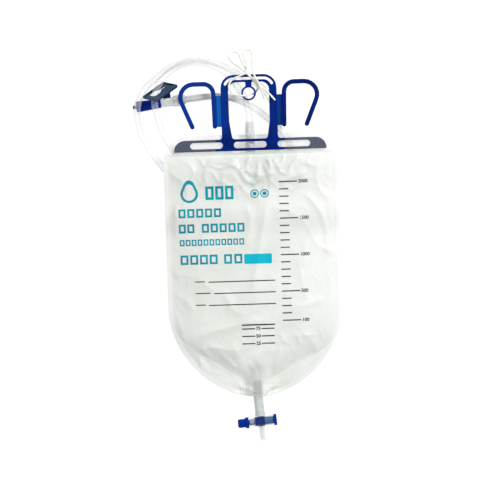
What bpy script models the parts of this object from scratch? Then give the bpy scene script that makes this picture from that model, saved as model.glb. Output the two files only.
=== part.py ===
"""Two-litre urine drainage bag with hanger, coiled tube and T valve, lying on its back.

Metres, +Z up. Y runs from the outlet towards the hanger, and X from left to right.
Every piece is measured from the bag's lowest point, the hanger and the tube set from its
top edge, and all hang under one empty, which sets the origin in the middle of the base.
"""

import math

import bmesh
import bpy
from mathutils import Matrix, Vector

# Clearances
gap = 0.0003
running_gap = 0.00025

# Film bag
film = 0.0004
bag_half_width = 0.0975
bag_length = 0.293
bag_corner_radius = 0.030
funnel_height = 0.085
funnel_roundness = 1.6
weld_margin = 0.0035
pillow_height = 0.009
pillow_height_over_coil = 0.0055
pillow_reach = 0.040
neck_half_width = 0.0095
cover_slope = 0.0095
cover_beyond = 0.003
cover_run_out = 0.019
funnel_weld_start = (0.0140, 0.0200)
funnel_weld_end = (0.0870, 0.0620)
notch_half_width = 0.038
neck_rise_length = 0.030
crease_fade = 0.012
slack_start_from_top = -0.113
slack_end_from_top = -0.043
coil_edge_from_top = -0.084
coil_ramp = 0.029
coil_width = 0.013
bar_ramp = 0.040
gather_pitch = 0.0034
gather_height = 0.0008
gather_beside = 0.00135
gather_width = 0.0125
gather_fade_in = 0.002
gather_fade_out = 0.004
gather_length = 0.012
gather_run_out = 0.014
front_shares = [0.0, 0.04, 0.13, 0.40, 0.70]
back_shares = [0.0, 0.13, 0.55]

# Hanger
plate_thickness = 0.0024
plate_underside = 0.0155
bar_from_top = -0.0184
weld_below_bar = 0.0046
pocket_slope = 0.0048
pocket_gap = 0.0008
pocket_top_slope = 0.0041
pocket_end_gap = 0.0035
pocket_end = 0.005
pocket_edge = 0.006
bar_height = 0.013
bar_half_length = 0.085
bar_end_radius = 0.012
bar_corner_radius = 0.0008
slot_length = 0.0365
slot_width = 0.0072
slot_pitch = 0.0487
frame_height = 0.0847
frame_half_width = 0.0312
frame_corner_radius = 0.0145
upright_width = 0.0083
upright_foot = 0.0117
upright_taper = 0.020
knee_inset = 0.0004
knee_radius = 0.025
foot_fillet = 0.0032
arch_height = 0.0083
window_corner_radius = 0.009
arch_slot_width = 0.003
arch_slot_depth = 0.0043
arch_slot_end_angle = 25.0
ring_outer_radius = 0.00825
ring_band = 0.002
ring_drop = 0.0042
ring_tab_width = 0.0069
tab_fillet = 0.001
plate_edge = 0.00035

# Hooks and their hinge webs
web_thickness = 0.0012
web_root_rise = 0.0142
web_length = 0.0345
web_groove = 0.0008
web_edge = 0.0001
web_overlap = 0.001
hinge_x = 0.0337
hook_bar = 0.005
hook_thickness = 0.004
hook_edge = 0.0013
hook_leg_x = 0.0386
hook_foot_rise = 0.0007
hook_top_drop = 0.0093
hook_leg_lean = 0.001
hook_reach_x = 0.0834
hook_tip_x = 0.0638
hook_inner_bend_radius = 0.0112
hook_outer_bend_radius = 0.0145

# Inlet
tube_radius = 0.0037
sleeve_radius = 0.0057
sleeve_mouth_radius = 0.0046
sleeve_mouth_rise = 0.0194
sleeve_taper = 0.014
sleeve_end_drop = 0.0091
sleeve_dip_near = 0.0075
sleeve_dip_far = 0.0255
sleeve_dip_side = 0.0033
sleeve_dip_slope = 0.021
reflux_length = 0.033
reflux_half_width = 0.012
reflux_thickness = 0.0012
reflux_rise = 0.0009

# Connector, its side branch and cap, along the connector's own axis
connector_from_top = (-0.0807, 0.0399)
connector_angle = 187.0
collar_radius = 0.0052
collar_length = 0.003
socket_length = 0.010
neck_radius = 0.0047
flange_radius = 0.0062
flange_length = 0.006
barrel_end = 0.0174
barrel_root_radius = 0.0050
barrel_end_radius = 0.0043
nozzle_length = 0.022
nozzle_root_radius = 0.0034
nozzle_tip_radius = 0.0026
nozzle_bore = 0.0018
branch_station = 0.0104
branch_length = 0.0085
branch_radius = 0.0034
branch_rise = 14.0
port_radius = 0.0047
port_length = 0.0062
cap_length = 0.028
cap_open_radius = 0.0049
cap_end_radius = 0.0062
cap_wall = 0.0011
cap_nub_radius = 0.0020
cap_nub_length = 0.0036

# Slide clamp
clamp_from_top = (-0.1037, 0.0487, 0.0186)
clamp_along = (0.706, 0.518, -0.485)
clamp_facing = (-0.148, 0.776, 0.613)
clamp_length = 0.033
clamp_width = 0.0196
clamp_slant = 0.0046
clamp_thickness = 0.0026
clamp_hole_from_end = 0.0140
clamp_hole_from_edge = 0.0068
clamp_rim = 0.0014
clamp_recess = 0.0009
clamp_corner = 0.0012
clamp_hole_width = 0.0090
clamp_hole_length = 0.0132
clamp_throat = 0.0065
clamp_slot_width = 0.0026
clamp_slot_end = 0.0160

# Outlet and valve
outlet_lean = 5.0
outlet_tube_radius = 0.00515
outlet_tube_wall = 0.0013
outlet_tube_inside_bag = 0.016
outlet_tube_flare = 0.0007
valve_distance = 0.0279
valve_barrel_radius = 0.0051
valve_barrel_wall = 0.0009
valve_barrel_left = 0.0080
valve_barrel_right = 0.0140
nipple_length = 0.0085
spout_radius = 0.0028
spout_root_radius = 0.0042
spout_root_length = 0.0025
spout_length = 0.0215
spout_bore = 0.0016
stem_travel = 0.0053
knob_radius = 0.00485
knob_length = 0.0087
collar_disc_radius = 0.00615
collar_disc_length = 0.0036
stem_neck_radius = 0.0027
stem_flange_radius = 0.0064
stem_flange_length = 0.0034
waist_length = 0.0030
seal_width = 0.0012
seal_radial = 0.0009
seal_crown = 0.0003
seal_spacing = 0.0029

# Cords
tie_cord_radius = 0.0011
tube_point_spacing = 0.0145
tie_point_spacing = 0.0045

# Facets
round_steps = 20
small_round_steps = 18
corner_steps = 5
tube_facets = 8
tie_facets = 6

# Places worked out from the sizes above
plate_top = plate_underside + plate_thickness
plate_middle = plate_underside + plate_thickness / 2
bar_y = bag_length + bar_from_top
top_weld_y = bar_y - weld_below_bar
coil_edge_y = bag_length + coil_edge_from_top
slack_start_y = bag_length + slack_start_from_top
slack_end_y = bag_length + slack_end_from_top
bar_top_y = bar_y + bar_height
frame_top_y = bar_y + frame_height
window_half_width = frame_half_width - upright_width
window_top_y = frame_top_y - arch_height
ring_y = window_top_y - ring_drop - ring_outer_radius
web_root_y = bar_top_y + web_root_rise
hook_foot_y = web_root_y + hook_foot_rise
hook_top_y = frame_top_y - hook_top_drop
sleeve_top_y = bar_top_y + sleeve_mouth_rise
sleeve_end_y = bar_y - sleeve_end_drop
connector_centre = (connector_from_top[0], bag_length + connector_from_top[1])
clamp_hole = (clamp_from_top[0], bag_length + clamp_from_top[1], clamp_from_top[2])
sleeve_z = plate_underside - gap - sleeve_radius
film_lift_at_bar = plate_underside - gap - film
film_lift_over_coil = 2 * tube_radius + gap + 0.0002
connector_z = flange_radius + 0.0001
valve_z = stem_flange_radius
bore_radius = valve_barrel_radius - valve_barrel_wall
piston_radius = bore_radius - running_gap
spout_tip_distance = valve_distance + spout_length
lean = math.radians(outlet_lean)
lowest_y = -spout_tip_distance * math.cos(lean) - spout_radius * math.sin(lean)
origin_shift = -(frame_top_y + lowest_y) / 2

# Tube route, from the bag's top edge: out of the sleeve, over the tube's own end, round the
# coil twice with the clamp on the inner turn, behind the right upright, to the connector
tube_route = [
    (0.0000, -0.0170, sleeve_z),
    (0.0000, -0.0040, sleeve_z),
    (0.0000, 0.0090, sleeve_z),
    (0.0000, 0.0200, sleeve_z),
    (-0.0020, 0.0310, 0.0104),
    (-0.0060, 0.0430, 0.0113),
    (-0.014, 0.0560, 0.0110),
    (-0.024, 0.0680, 0.0110),
    (-0.037, 0.0765, 0.0115),
    (-0.050, 0.0810, 0.0119),
    (-0.068, 0.0815, 0.0119),
    (-0.084, 0.0750, 0.0119),
    (-0.094, 0.0660, 0.0137),
    (-0.1000, 0.0570, 0.0172),
    (-0.1037, 0.0487, 0.0186),
    (-0.1050, 0.0400, 0.0192),
    (-0.1042, 0.0310, 0.0180),
    (-0.102, 0.0200, 0.0122),
    (-0.098, 0.0070, 0.0060),
    (-0.092, -0.0050, 0.0040),
    (-0.083, -0.0200, 0.0037),
    (-0.071, -0.0350, 0.0037),
    (-0.055, -0.0490, 0.0037),
    (-0.036, -0.0580, 0.0037),
    (-0.016, -0.0590, 0.0037),
    (0.003, -0.0540, 0.0037),
    (0.018, -0.0430, 0.0037),
    (0.028, -0.0270, 0.0044),
    (0.032, -0.0110, 0.0084),
    (0.0325, 0.0060, 0.0115),
    (0.030, 0.0240, 0.0115),
    (0.024, 0.0390, 0.0092),
    (0.015, 0.0520, 0.0056),
    (0.004, 0.0600, 0.0039),
    (-0.009, 0.0670, 0.0037),
    (-0.024, 0.0760, 0.0037),
    (-0.040, 0.0820, 0.0037),
    (-0.059, 0.0850, 0.0037),
    (-0.078, 0.0820, 0.0037),
    (-0.093, 0.0740, 0.0037),
    (-0.105, 0.0645, 0.0041),
    (-0.115, 0.0550, 0.0066),
    (-0.121, 0.0450, 0.0128),
    (-0.124, 0.0340, 0.0168),
    (-0.125, 0.0220, 0.0132),
    (-0.122, 0.0060, 0.0058),
    (-0.114, -0.0120, 0.0038),
    (-0.102, -0.0290, 0.0037),
    (-0.089, -0.0450, 0.0037),
    (-0.073, -0.0600, 0.0037),
    (-0.055, -0.0710, 0.0037),
    (-0.034, -0.0760, 0.0037),
    (-0.012, -0.0740, 0.0037),
    (0.008, -0.0670, 0.0037),
    (0.025, -0.0560, 0.0037),
    (0.038, -0.0430, 0.0037),
    (0.0445, -0.0280, 0.0037),
    (0.0445, -0.0140, 0.0037),
    (0.039, -0.0020, 0.0037),
    (0.031, 0.0080, 0.0037),
    (0.022, 0.0160, 0.0037),
    (0.013, 0.0240, 0.0037),
    (0.003, 0.0310, 0.0037),
    (-0.008, 0.0370, 0.0037),
    (-0.022, 0.0420, 0.0037),
    (-0.040, 0.0440, 0.0040),
    (-0.057, 0.0428, 0.0052),
]

# Tie cord route, from the bag's top edge: a tail, the knot, the left bow loop, through the
# ring, back over the arch, the right bow loop, the knot and the other tail
tie_route = [
    (0.0293, 0.0366, 0.0196),
    (0.0218, 0.0453, 0.0196),
    (0.0120, 0.0545, 0.0197),
    (0.0030, 0.0632, 0.0208),
    (-0.0054, 0.0712, 0.0192),
    (-0.0142, 0.0782, 0.0142),
    (-0.0205, 0.0847, 0.0086),
    (-0.0200, 0.0888, 0.0054),
    (-0.0178, 0.0922, 0.0034),
    (-0.0142, 0.0934, 0.0026),
    (-0.0109, 0.0916, 0.0030),
    (-0.0088, 0.0880, 0.0050),
    (-0.0056, 0.0794, 0.0128),
    (-0.0006, 0.0692, 0.0190),
    (0.0052, 0.0600, 0.0197),
    (0.0103, 0.0532, 0.0165),
    (0.0094, 0.0482, 0.0143),
    (0.0056, 0.0450, 0.0138),
    (0.0002, 0.0437, 0.0166),
    (-0.0050, 0.0428, 0.0194),
    (-0.0095, 0.0428, 0.0198),
    (-0.0150, 0.0440, 0.0196),
    (-0.0205, 0.0482, 0.0197),
    (-0.0218, 0.0545, 0.0199),
    (-0.0178, 0.0610, 0.0204),
    (-0.0090, 0.0648, 0.0220),
    (-0.0036, 0.0674, 0.0228),
    (-0.0010, 0.0714, 0.0212),
    (-0.0012, 0.0776, 0.0164),
    (-0.0040, 0.0850, 0.0095),
    (-0.0044, 0.0900, 0.0052),
    (-0.0029, 0.0936, 0.0036),
    (0.0005, 0.0950, 0.0030),
    (0.0038, 0.0934, 0.0031),
    (0.0052, 0.0896, 0.0044),
    (0.0056, 0.0836, 0.0086),
    (0.0052, 0.0750, 0.0170),
    (0.0068, 0.0650, 0.0232),
    (0.0118, 0.0550, 0.0222),
    (0.0150, 0.0470, 0.0194),
    (0.0172, 0.0390, 0.0164),
]

# Standing creases of the front film: (x, y) at both ends, half width and height
creases = [
    ((-0.030, 0.262), (-0.062, 0.238), 0.0065, 0.0022),
    ((-0.012, 0.252), (-0.030, 0.222), 0.0055, 0.0018),
    ((0.018, 0.262), (0.034, 0.238), 0.0050, 0.0020),
    ((0.004, 0.232), (0.016, 0.205), 0.0060, 0.0014),
    ((-0.078, 0.226), (-0.070, 0.165), 0.0080, 0.0014),
    ((0.074, 0.214), (0.084, 0.150), 0.0080, 0.0014),
    ((-0.070, 0.105), (-0.022, 0.062), 0.0070, 0.0018),
    ((-0.046, 0.118), (-0.004, 0.088), 0.0075, 0.0014),
    ((0.052, 0.110), (0.020, 0.052), 0.0070, 0.0016),
    ((-0.034, 0.062), (-0.008, 0.024), 0.0050, 0.0014),
]


def clear_scene():
    for obj in list(bpy.data.objects):
        bpy.data.objects.remove(obj, do_unlink=True)


def finish(name, colour, roughness, alpha=1.0, transmission=0.0):
    material = bpy.data.materials.new(name)
    material.use_nodes = True
    shader = material.node_tree.nodes["Principled BSDF"]
    shader.inputs["Base Color"].default_value = (*colour, 1.0)
    shader.inputs["Roughness"].default_value = roughness
    shader.inputs["Metallic"].default_value = 0.0
    shader.inputs["Alpha"].default_value = alpha
    shader.inputs["Transmission Weight"].default_value = transmission
    return material


def add_object(name, data, material=None, location=(0, 0, 0), axes=None):
    obj = bpy.data.objects.new(name, data)
    bpy.context.scene.collection.objects.link(obj)
    if material:
        data.materials.append(material)
    place = Matrix.Translation(Vector(location))
    if axes:
        place = place @ axes.to_4x4()
    obj.parent = object_frame
    obj.matrix_basis = place
    return obj


def mesh_from(bm, name, smooth_angle=35.0):
    bmesh.ops.remove_doubles(bm, verts=bm.verts, dist=1e-6)
    bmesh.ops.recalc_face_normals(bm, faces=bm.faces)
    mesh = bpy.data.meshes.new(name)
    bm.to_mesh(mesh)
    bm.free()
    mesh.shade_smooth()
    mesh.set_sharp_from_angle(angle=math.radians(smooth_angle))
    return mesh


def guide(name, mesh, owner):
    """A hidden solid that a Boolean adds to or cuts from its owner, in the owner's place."""
    obj = add_object(name, mesh)
    obj.matrix_basis = owner.matrix_basis.copy()
    obj.hide_render = True
    obj.display_type = "WIRE"
    return obj


def combine(owner, other, operation):
    step = owner.modifiers.new(other.name, "BOOLEAN")
    step.operation = operation
    step.object = other
    step.solver = "EXACT"


def soften(obj, width, segments=2):
    edge = obj.modifiers.new("edge", "BEVEL")
    edge.width = width
    edge.segments = segments
    edge.limit_method = "ANGLE"
    edge.angle_limit = math.radians(50)
    edge.harden_normals = False


def smooth(low, high, value):
    t = min(max((value - low) / (high - low), 0.0), 1.0)
    return t * t * (3 - 2 * t)


def bulge(t):
    """Rises steeply from 0 and levels out at 1, as film does beside a weld."""
    t = min(max(t, 0.0), 1.0)
    return 1 - (1 - t) ** 2


# Plane outlines


def arc(centre, radius, start, end, steps):
    points = []
    for i in range(steps + 1):
        angle = math.radians(start + (end - start) * i / steps)
        points.append((centre[0] + radius * math.cos(angle), centre[1] + radius * math.sin(angle)))
    return points


def rounded(corners, closed=True, steps=corner_steps):
    """Points of an outline whose corners (x, y, radius) are replaced by arcs."""
    points = []
    count = len(corners)
    for i, (x, y, radius) in enumerate(corners):
        is_end = not closed and i in (0, count - 1)
        if radius == 0 or is_end:
            points.append((x, y))
            continue
        corner = Vector((x, y))
        back = (Vector(corners[i - 1][:2]) - corner).normalized()
        ahead = (Vector(corners[(i + 1) % count][:2]) - corner).normalized()
        half = back.angle(ahead) / 2
        centre = corner + (back + ahead).normalized() * radius / math.sin(half)
        first = corner + back * radius / math.tan(half) - centre
        last = corner + ahead * radius / math.tan(half) - centre
        turn = first.angle_signed(last)
        start = math.atan2(first.y, first.x)
        for k in range(steps + 1):
            angle = start - turn * k / steps
            points.append((centre.x + radius * math.cos(angle), centre.y + radius * math.sin(angle)))
    return points


def stroke(path, width, steps=8):
    """Outline of a bar of this width along a path, with round ends."""
    line = [Vector(p) for p in path]
    left = []
    right = []
    for i, point in enumerate(line):
        before = line[max(i - 1, 0)]
        after = line[min(i + 1, len(line) - 1)]
        along = (after - before).normalized()
        side = Vector((-along.y, along.x)) * width / 2
        left.append(tuple(point + side))
        right.append(tuple(point - side))
    start = math.degrees(math.atan2(line[1].y - line[0].y, line[1].x - line[0].x))
    end = math.degrees(math.atan2(line[-1].y - line[-2].y, line[-1].x - line[-2].x))
    end_cap = arc(line[-1], width / 2, end + 90, end - 90, steps)[1:-1]
    start_cap = arc(line[0], width / 2, start - 90, start - 270, steps)[1:-1]
    return left + end_cap + right[::-1] + start_cap


def mirrored(points):
    return [(-x, y) for x, y in points]


def slab(outline, holes, low, high):
    """A flat plate from its outline and its holes."""
    bm = bmesh.new()
    for loop in [outline, *holes]:
        verts = [bm.verts.new((x, y, low)) for x, y in loop]
        for a, b in zip(verts, verts[1:] + verts[:1]):
            bm.edges.new((a, b))
    bmesh.ops.triangle_fill(bm, edges=list(bm.edges), use_beauty=True)
    raised = bmesh.ops.extrude_face_region(bm, geom=list(bm.faces))["geom"]
    tops = [item for item in raised if isinstance(item, bmesh.types.BMVert)]
    bmesh.ops.translate(bm, verts=tops, vec=(0, 0, high - low))
    return bm


def extruded_strip(section, start_y, length):
    """A strip along Y from its section in X and Z."""
    bm = bmesh.new()
    verts = [bm.verts.new((x, start_y, z)) for x, z in section]
    face = bm.faces.new(verts)
    raised = bmesh.ops.extrude_face_region(bm, geom=[face])["geom"]
    tops = [item for item in raised if isinstance(item, bmesh.types.BMVert)]
    bmesh.ops.translate(bm, verts=tops, vec=(0, length, 0))
    return bm


# Turned pieces and tubes


def turned(profile, steps=round_steps, axis=(1, 0, 0), closed=False):
    """A profile of (station, radius) points spun round an axis through the origin."""
    axis = Vector(axis)
    out = Vector((0, 0, 1))
    bm = bmesh.new()
    verts = [bm.verts.new(axis * station + out * radius) for station, radius in profile]
    pairs = list(zip(verts, verts[1:]))
    if closed:
        pairs.append((verts[-1], verts[0]))
    edges = [bm.edges.new(pair) for pair in pairs]
    bmesh.ops.spin(
        bm, geom=verts + edges, cent=(0, 0, 0), axis=axis, angle=math.tau, steps=steps, use_merge=True
    )
    return bm


def smooth_line(points, spacing):
    """Evenly spaced points on one smooth curve through the route's own points."""
    knots = [Vector(p) for p in points]
    knots = [2 * knots[0] - knots[1], *knots, 2 * knots[-1] - knots[-2]]
    fine = []
    for i in range(1, len(knots) - 2):
        p0, p1, p2, p3 = knots[i - 1 : i + 3]
        for k in range(12):
            t = k / 12
            a = 2 * p1
            b = p2 - p0
            c = 2 * p0 - 5 * p1 + 4 * p2 - p3
            d = -p0 + 3 * p1 - 3 * p2 + p3
            fine.append((a + b * t + c * t * t + d * t**3) / 2)
    fine.append(knots[-2])
    travelled = [0.0]
    for a, b in zip(fine, fine[1:]):
        travelled.append(travelled[-1] + (b - a).length)
    count = max(2, round(travelled[-1] / spacing))
    line = []
    k = 0
    for i in range(count + 1):
        wanted = travelled[-1] * i / count
        while k < len(fine) - 2 and travelled[k + 1] < wanted:
            k += 1
        share = (wanted - travelled[k]) / (travelled[k + 1] - travelled[k])
        line.append(fine[k].lerp(fine[k + 1], share))
    return line


def from_top(route):
    """A route measured from the bag's top edge, in the part's own frame."""
    return [(x, bag_length + y, z) for x, y, z in route]


def cord(name, route, radius, spacing, facets, material):
    curve = bpy.data.curves.new(name, "CURVE")
    curve.dimensions = "3D"
    curve.bevel_depth = radius
    curve.bevel_resolution = facets // 2 - 2
    curve.use_fill_caps = True
    line = smooth_line(route, spacing)
    spline = curve.splines.new("POLY")
    spline.points.add(len(line) - 1)
    for point, place in zip(spline.points, line):
        point.co = (*place, 1.0)
    return add_object(name, curve, material)


# Film bag


def bag_half_width_at(y):
    """Half the bag's width: a rounded funnel below, straight sides, round top corners."""
    if y < funnel_height:
        share = 1 - max(y, 0.0) / funnel_height
        return bag_half_width * max(1 - share**funnel_roundness, 0.0) ** (1 / funnel_roundness)
    corner = y - (bag_length - bag_corner_radius)
    if corner > 0:
        inset = bag_corner_radius - math.sqrt(max(bag_corner_radius**2 - corner**2, 0.0))
        return bag_half_width - inset
    return bag_half_width


def cavity_half_width(y):
    """Half the width that is left inside the side welds and the funnel weld."""
    (x0, y0), (x1, y1) = funnel_weld_start, funnel_weld_end
    funnel = x0 + (y - y0) * (x1 - x0) / (y1 - y0)
    return min(max(funnel, neck_half_width), bag_half_width_at(y) - weld_margin)


def film_lift(y):
    """How far the back film is held up by the coil under it and by the bar."""
    on_coil = smooth(coil_edge_y - coil_ramp, coil_edge_y, y)
    ramp_start = coil_edge_y + coil_width
    to_bar = smooth(ramp_start, ramp_start + bar_ramp, y)
    return film_lift_over_coil * on_coil + (film_lift_at_bar - film_lift_over_coil) * to_bar


def back_height(x, y):
    """Underside of the back film, which dips round the inlet sleeve."""
    sleeve_floor = sleeve_z - sleeve_radius - gap - film
    dip = smooth(sleeve_end_y - sleeve_dip_far, sleeve_end_y - sleeve_dip_near, y)
    side = sleeve_radius + sleeve_dip_side
    dip *= 1 - smooth(side, side + sleeve_dip_slope, abs(x))
    return film_lift(y) - dip * (film_lift(y) - sleeve_floor)


def crease_height(x, y):
    total = 0.0
    point = Vector((x, y))
    for start, end, half_width, height in creases:
        a = Vector(start)
        along = Vector(end) - a
        share = min(max((point - a).dot(along) / along.length_squared, 0.0), 1.0)
        away = (point - a - along * share).length
        ends = smooth(0.0, 0.3, share) * (1 - smooth(0.7, 1.0, share))
        total += height * ends * (1 - smooth(0.0, half_width, away))
    return total


def gathers(x, y):
    """Pleats that run into the bottom edge on both sides of the outlet."""
    start = outlet_tube_radius + gather_beside
    end = start + gather_width
    side = smooth(start, start + gather_fade_in, abs(x)) * (1 - smooth(end, end + gather_fade_out, abs(x)))
    along = 1 - smooth(gather_length, gather_length + gather_run_out, y)
    wave = 0.5 - 0.5 * math.cos(math.tau * abs(x) / gather_pitch)
    return gather_height * side * along * wave


def pocket_height(x, y):
    """Rise of the front film over the ends of the hanger's bar."""
    up = smooth(bar_y - pocket_gap - pocket_slope, bar_y - pocket_gap, y)
    down = 1 - smooth(bar_top_y + pocket_gap, bar_top_y + pocket_gap + pocket_top_slope, y)
    slope_start = bar_half_length + pocket_end_gap
    outer = 1 - smooth(slope_start, slope_start + pocket_end, abs(x))
    edge = smooth(0.0, pocket_edge, bag_half_width_at(y) - abs(x))
    return (plate_thickness + gap) * up * down * min(outer, edge)


def front_height(x, y):
    """Underside of the front film."""
    inside = cavity_half_width(y) - abs(x)
    height = pillow_height
    height += (pillow_height_over_coil - pillow_height) * smooth(slack_start_y, slack_end_y, y)
    pillow = height * bulge(inside / pillow_reach) * bulge((top_weld_y - y) / pillow_reach)
    pillow *= smooth(0.0, neck_rise_length, y)
    loose = bulge(inside / crease_fade) * bulge((top_weld_y - y) / crease_fade)
    pillow += crease_height(x, y) * loose
    outlet_cover = valve_z + outlet_tube_radius - film
    outlet_cover *= 1 - smooth(outlet_tube_radius, outlet_tube_radius + cover_slope, abs(x))
    cover_end = outlet_tube_inside_bag + cover_beyond
    outlet_cover *= 1 - smooth(cover_end, cover_end + cover_run_out, y)
    rise = max(pillow, outlet_cover) + gathers(x, y)
    return film_lift(y) + film + gap + rise + pocket_height(x, y)


def spread(low, high, count):
    """Evenly spaced values after low, up to and with high."""
    return [low + (high - low) * (i + 1) / count for i in range(count)]


def film_rows(per_funnel, per_body, per_coil, per_ramp, bar_rows):
    """Rows of a film from the lowest point up, closer together where it bends more."""
    rows = []
    for i in range(per_funnel):
        t = 0.16 + (math.pi / 2 - 0.16) * i / (per_funnel - 1)
        rows.append(funnel_height * (1 - math.cos(t) ** (2 / funnel_roundness)))
    coil_start = coil_edge_y - coil_ramp
    ramp_end = coil_edge_y + coil_width + bar_ramp
    rows += spread(funnel_height, coil_start, per_body)
    rows += spread(coil_start, coil_edge_y, per_coil)
    rows += spread(coil_edge_y, ramp_end, per_ramp)
    return rows + bar_rows


def film_sheet(rows, inner_cells, outer_shares, height, notch_y):
    """One film: a grid that follows the bag's outline, cut away above notch_y in the middle."""
    share = notch_half_width / bag_half_width
    outer_cells = len(outer_shares)
    bm = bmesh.new()
    grid = {}
    for i, y in enumerate(rows):
        width = bag_half_width_at(y)
        inner = min(notch_half_width, width * share) if y < top_weld_y else notch_half_width
        stations = [width - (width - inner) * k for k in outer_shares]
        stations += [inner - inner * 2 * k / inner_cells for k in range(inner_cells // 2)]
        across = [-x for x in stations] + [0.0] + stations[::-1]
        for j, x in enumerate(across):
            z = height(x, y)
            grid[i, j] = (bm.verts.new((x, y, z)), bm.verts.new((x, y, z + film)))
    columns = 2 * outer_cells + inner_cells
    cells = set()
    for i in range(len(rows) - 1):
        for j in range(columns):
            in_notch = rows[i] >= notch_y and outer_cells <= j < outer_cells + inner_cells
            if not in_notch:
                cells.add((i, j))
    for i, j in cells:
        ring = [(i, j), (i, j + 1), (i + 1, j + 1), (i + 1, j)]
        bm.faces.new([grid[k][0] for k in reversed(ring)])
        bm.faces.new([grid[k][1] for k in ring])
        neighbours = [(i - 1, j), (i, j + 1), (i + 1, j), (i, j - 1)]
        for a, b, beyond in zip(ring, ring[1:] + ring[:1], neighbours):
            if beyond not in cells:
                bm.faces.new([grid[a][0], grid[b][0], grid[b][1], grid[a][1]])
    loose = [v for v in bm.verts if not v.link_faces]
    bmesh.ops.delete(bm, geom=loose, context="VERTS")
    return bm


def make_bag(film_finish):
    notch_y = bar_y - pocket_gap
    pocket_top = bar_top_y + pocket_gap
    middle = bar_y + bar_height / 2
    front_bar_rows = [notch_y - pocket_slope, notch_y - pocket_slope / 2, notch_y, middle]
    front_bar_rows += [pocket_top, pocket_top + pocket_top_slope / 2, bag_length]
    front_rows = film_rows(13, 6, 3, 5, front_bar_rows)
    front = film_sheet(front_rows, 16, front_shares, front_height, notch_y)
    add_object("front_sheet", mesh_from(front, "front_sheet", 60), film_finish)
    back_bar_rows = [(top_weld_y + bar_y) / 2, bar_y, middle, bar_top_y, bag_length]
    back_rows = film_rows(9, 3, 3, 7, back_bar_rows)
    back = film_sheet(back_rows, 14, back_shares, back_height, bag_length)
    add_object("back_sheet", mesh_from(back, "back_sheet", 60), film_finish)


# Hanger


def frame_outline():
    """Outer contour: the bar with quarter-round ends, the uprights and the arch."""
    half = [
        (bar_half_length, bar_y, bar_corner_radius),
        (bar_half_length, bar_top_y, bar_end_radius),
        (frame_half_width, bar_top_y, foot_fillet),
        (frame_half_width, frame_top_y, frame_corner_radius),
    ]
    other = [(-x, y, radius) for x, y, radius in half[::-1]]
    return rounded(half + other)


def window_outline():
    """The window between the uprights, with the ring and its tab standing into it."""
    foot_x = frame_half_width - upright_foot
    knee_y = bar_top_y + upright_taper
    half_tab = ring_tab_width / 2
    right = [
        (foot_x, bar_top_y, foot_fillet),
        (window_half_width - knee_inset, knee_y, knee_radius),
        (window_half_width, window_top_y, window_corner_radius),
        (half_tab, window_top_y, tab_fillet),
        (half_tab, ring_y, 0),
    ]
    side = rounded([(0, bar_top_y, 0), *right], closed=False)[1:-1]
    meet = math.degrees(math.asin(half_tab / ring_outer_radius))
    ring = arc((0, ring_y), ring_outer_radius, 90 - meet, -270 + meet, 28)
    return side + ring + mirrored(side)[::-1]


def arch_slot_outline():
    radius = frame_corner_radius - arch_slot_depth
    centre = (frame_half_width - frame_corner_radius, frame_top_y - frame_corner_radius)
    right = arc(centre, radius, arch_slot_end_angle, 90, 6)
    return stroke(right + mirrored(right)[::-1], arch_slot_width, 6)


def bar_slots():
    run = (slot_length - slot_width) / 2
    middle = bar_y + bar_height / 2
    slots = []
    for x in (-slot_pitch, 0.0, slot_pitch):
        slots.append(stroke([(x - run, middle), (x + run, middle)], slot_width))
    return slots


def web_half(near_x, groove_x):
    """Half a hinge web: full thickness at near_x, tapered to a thin edge at the groove."""
    side = 1 if groove_x > near_x else -1
    shoulder = groove_x - side * web_groove
    half = web_thickness / 2
    section = [
        (near_x, plate_middle - half),
        (shoulder, plate_middle - half),
        (groove_x, plate_middle - web_edge),
        (groove_x, plate_middle + web_edge),
        (shoulder, plate_middle + half),
        (near_x, plate_middle + half),
    ]
    return extruded_strip(section, web_root_y, web_length)


def make_frame(blue):
    ring_hole = arc((0, ring_y), ring_outer_radius - ring_band, 0, 345, 23)
    holes = [window_outline(), arch_slot_outline(), ring_hole, *bar_slots()]
    bm = slab(frame_outline(), holes, plate_underside, plate_top)
    frame = add_object("hanger_frame", mesh_from(bm, "hanger_frame"), blue)
    soften(frame, plate_edge, 1)
    for side in (-1, 1):
        strip = web_half(side * (frame_half_width - web_overlap), side * (hinge_x - gap / 2))
        web = guide(f"frame_web_{'right' if side > 0 else 'left'}", mesh_from(strip, "web"), frame)
        combine(frame, web, "UNION")


def make_hook(name, side, blue):
    """A hook with its half web, modelled round its hinge line."""
    path = [
        (hook_leg_x, hook_foot_y, 0),
        (hook_leg_x + hook_leg_lean, hook_top_y, hook_inner_bend_radius),
        (hook_reach_x, hook_top_y, hook_outer_bend_radius),
        (hook_tip_x, hook_foot_y, 0),
    ]
    line = rounded(path, closed=False, steps=7)
    outline = [(side * (x - hinge_x), y) for x, y in stroke(line, hook_bar, 6)]
    half = hook_thickness / 2
    bm = slab(outline, [], -half, half)
    hinge = (side * hinge_x, 0, plate_middle)
    hook = add_object(name, mesh_from(bm, name), blue, hinge)
    soften(hook, hook_edge, 2)
    leg_side = hook_leg_x - hook_bar / 2 + web_overlap
    strip = web_half(side * leg_side, side * (hinge_x + gap / 2))
    bmesh.ops.translate(strip, verts=strip.verts, vec=(-side * hinge_x, 0, -plate_middle))
    web = guide(name + "_web", mesh_from(strip, name + "_web"), hook)
    combine(hook, web, "UNION")


# Inlet


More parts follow.
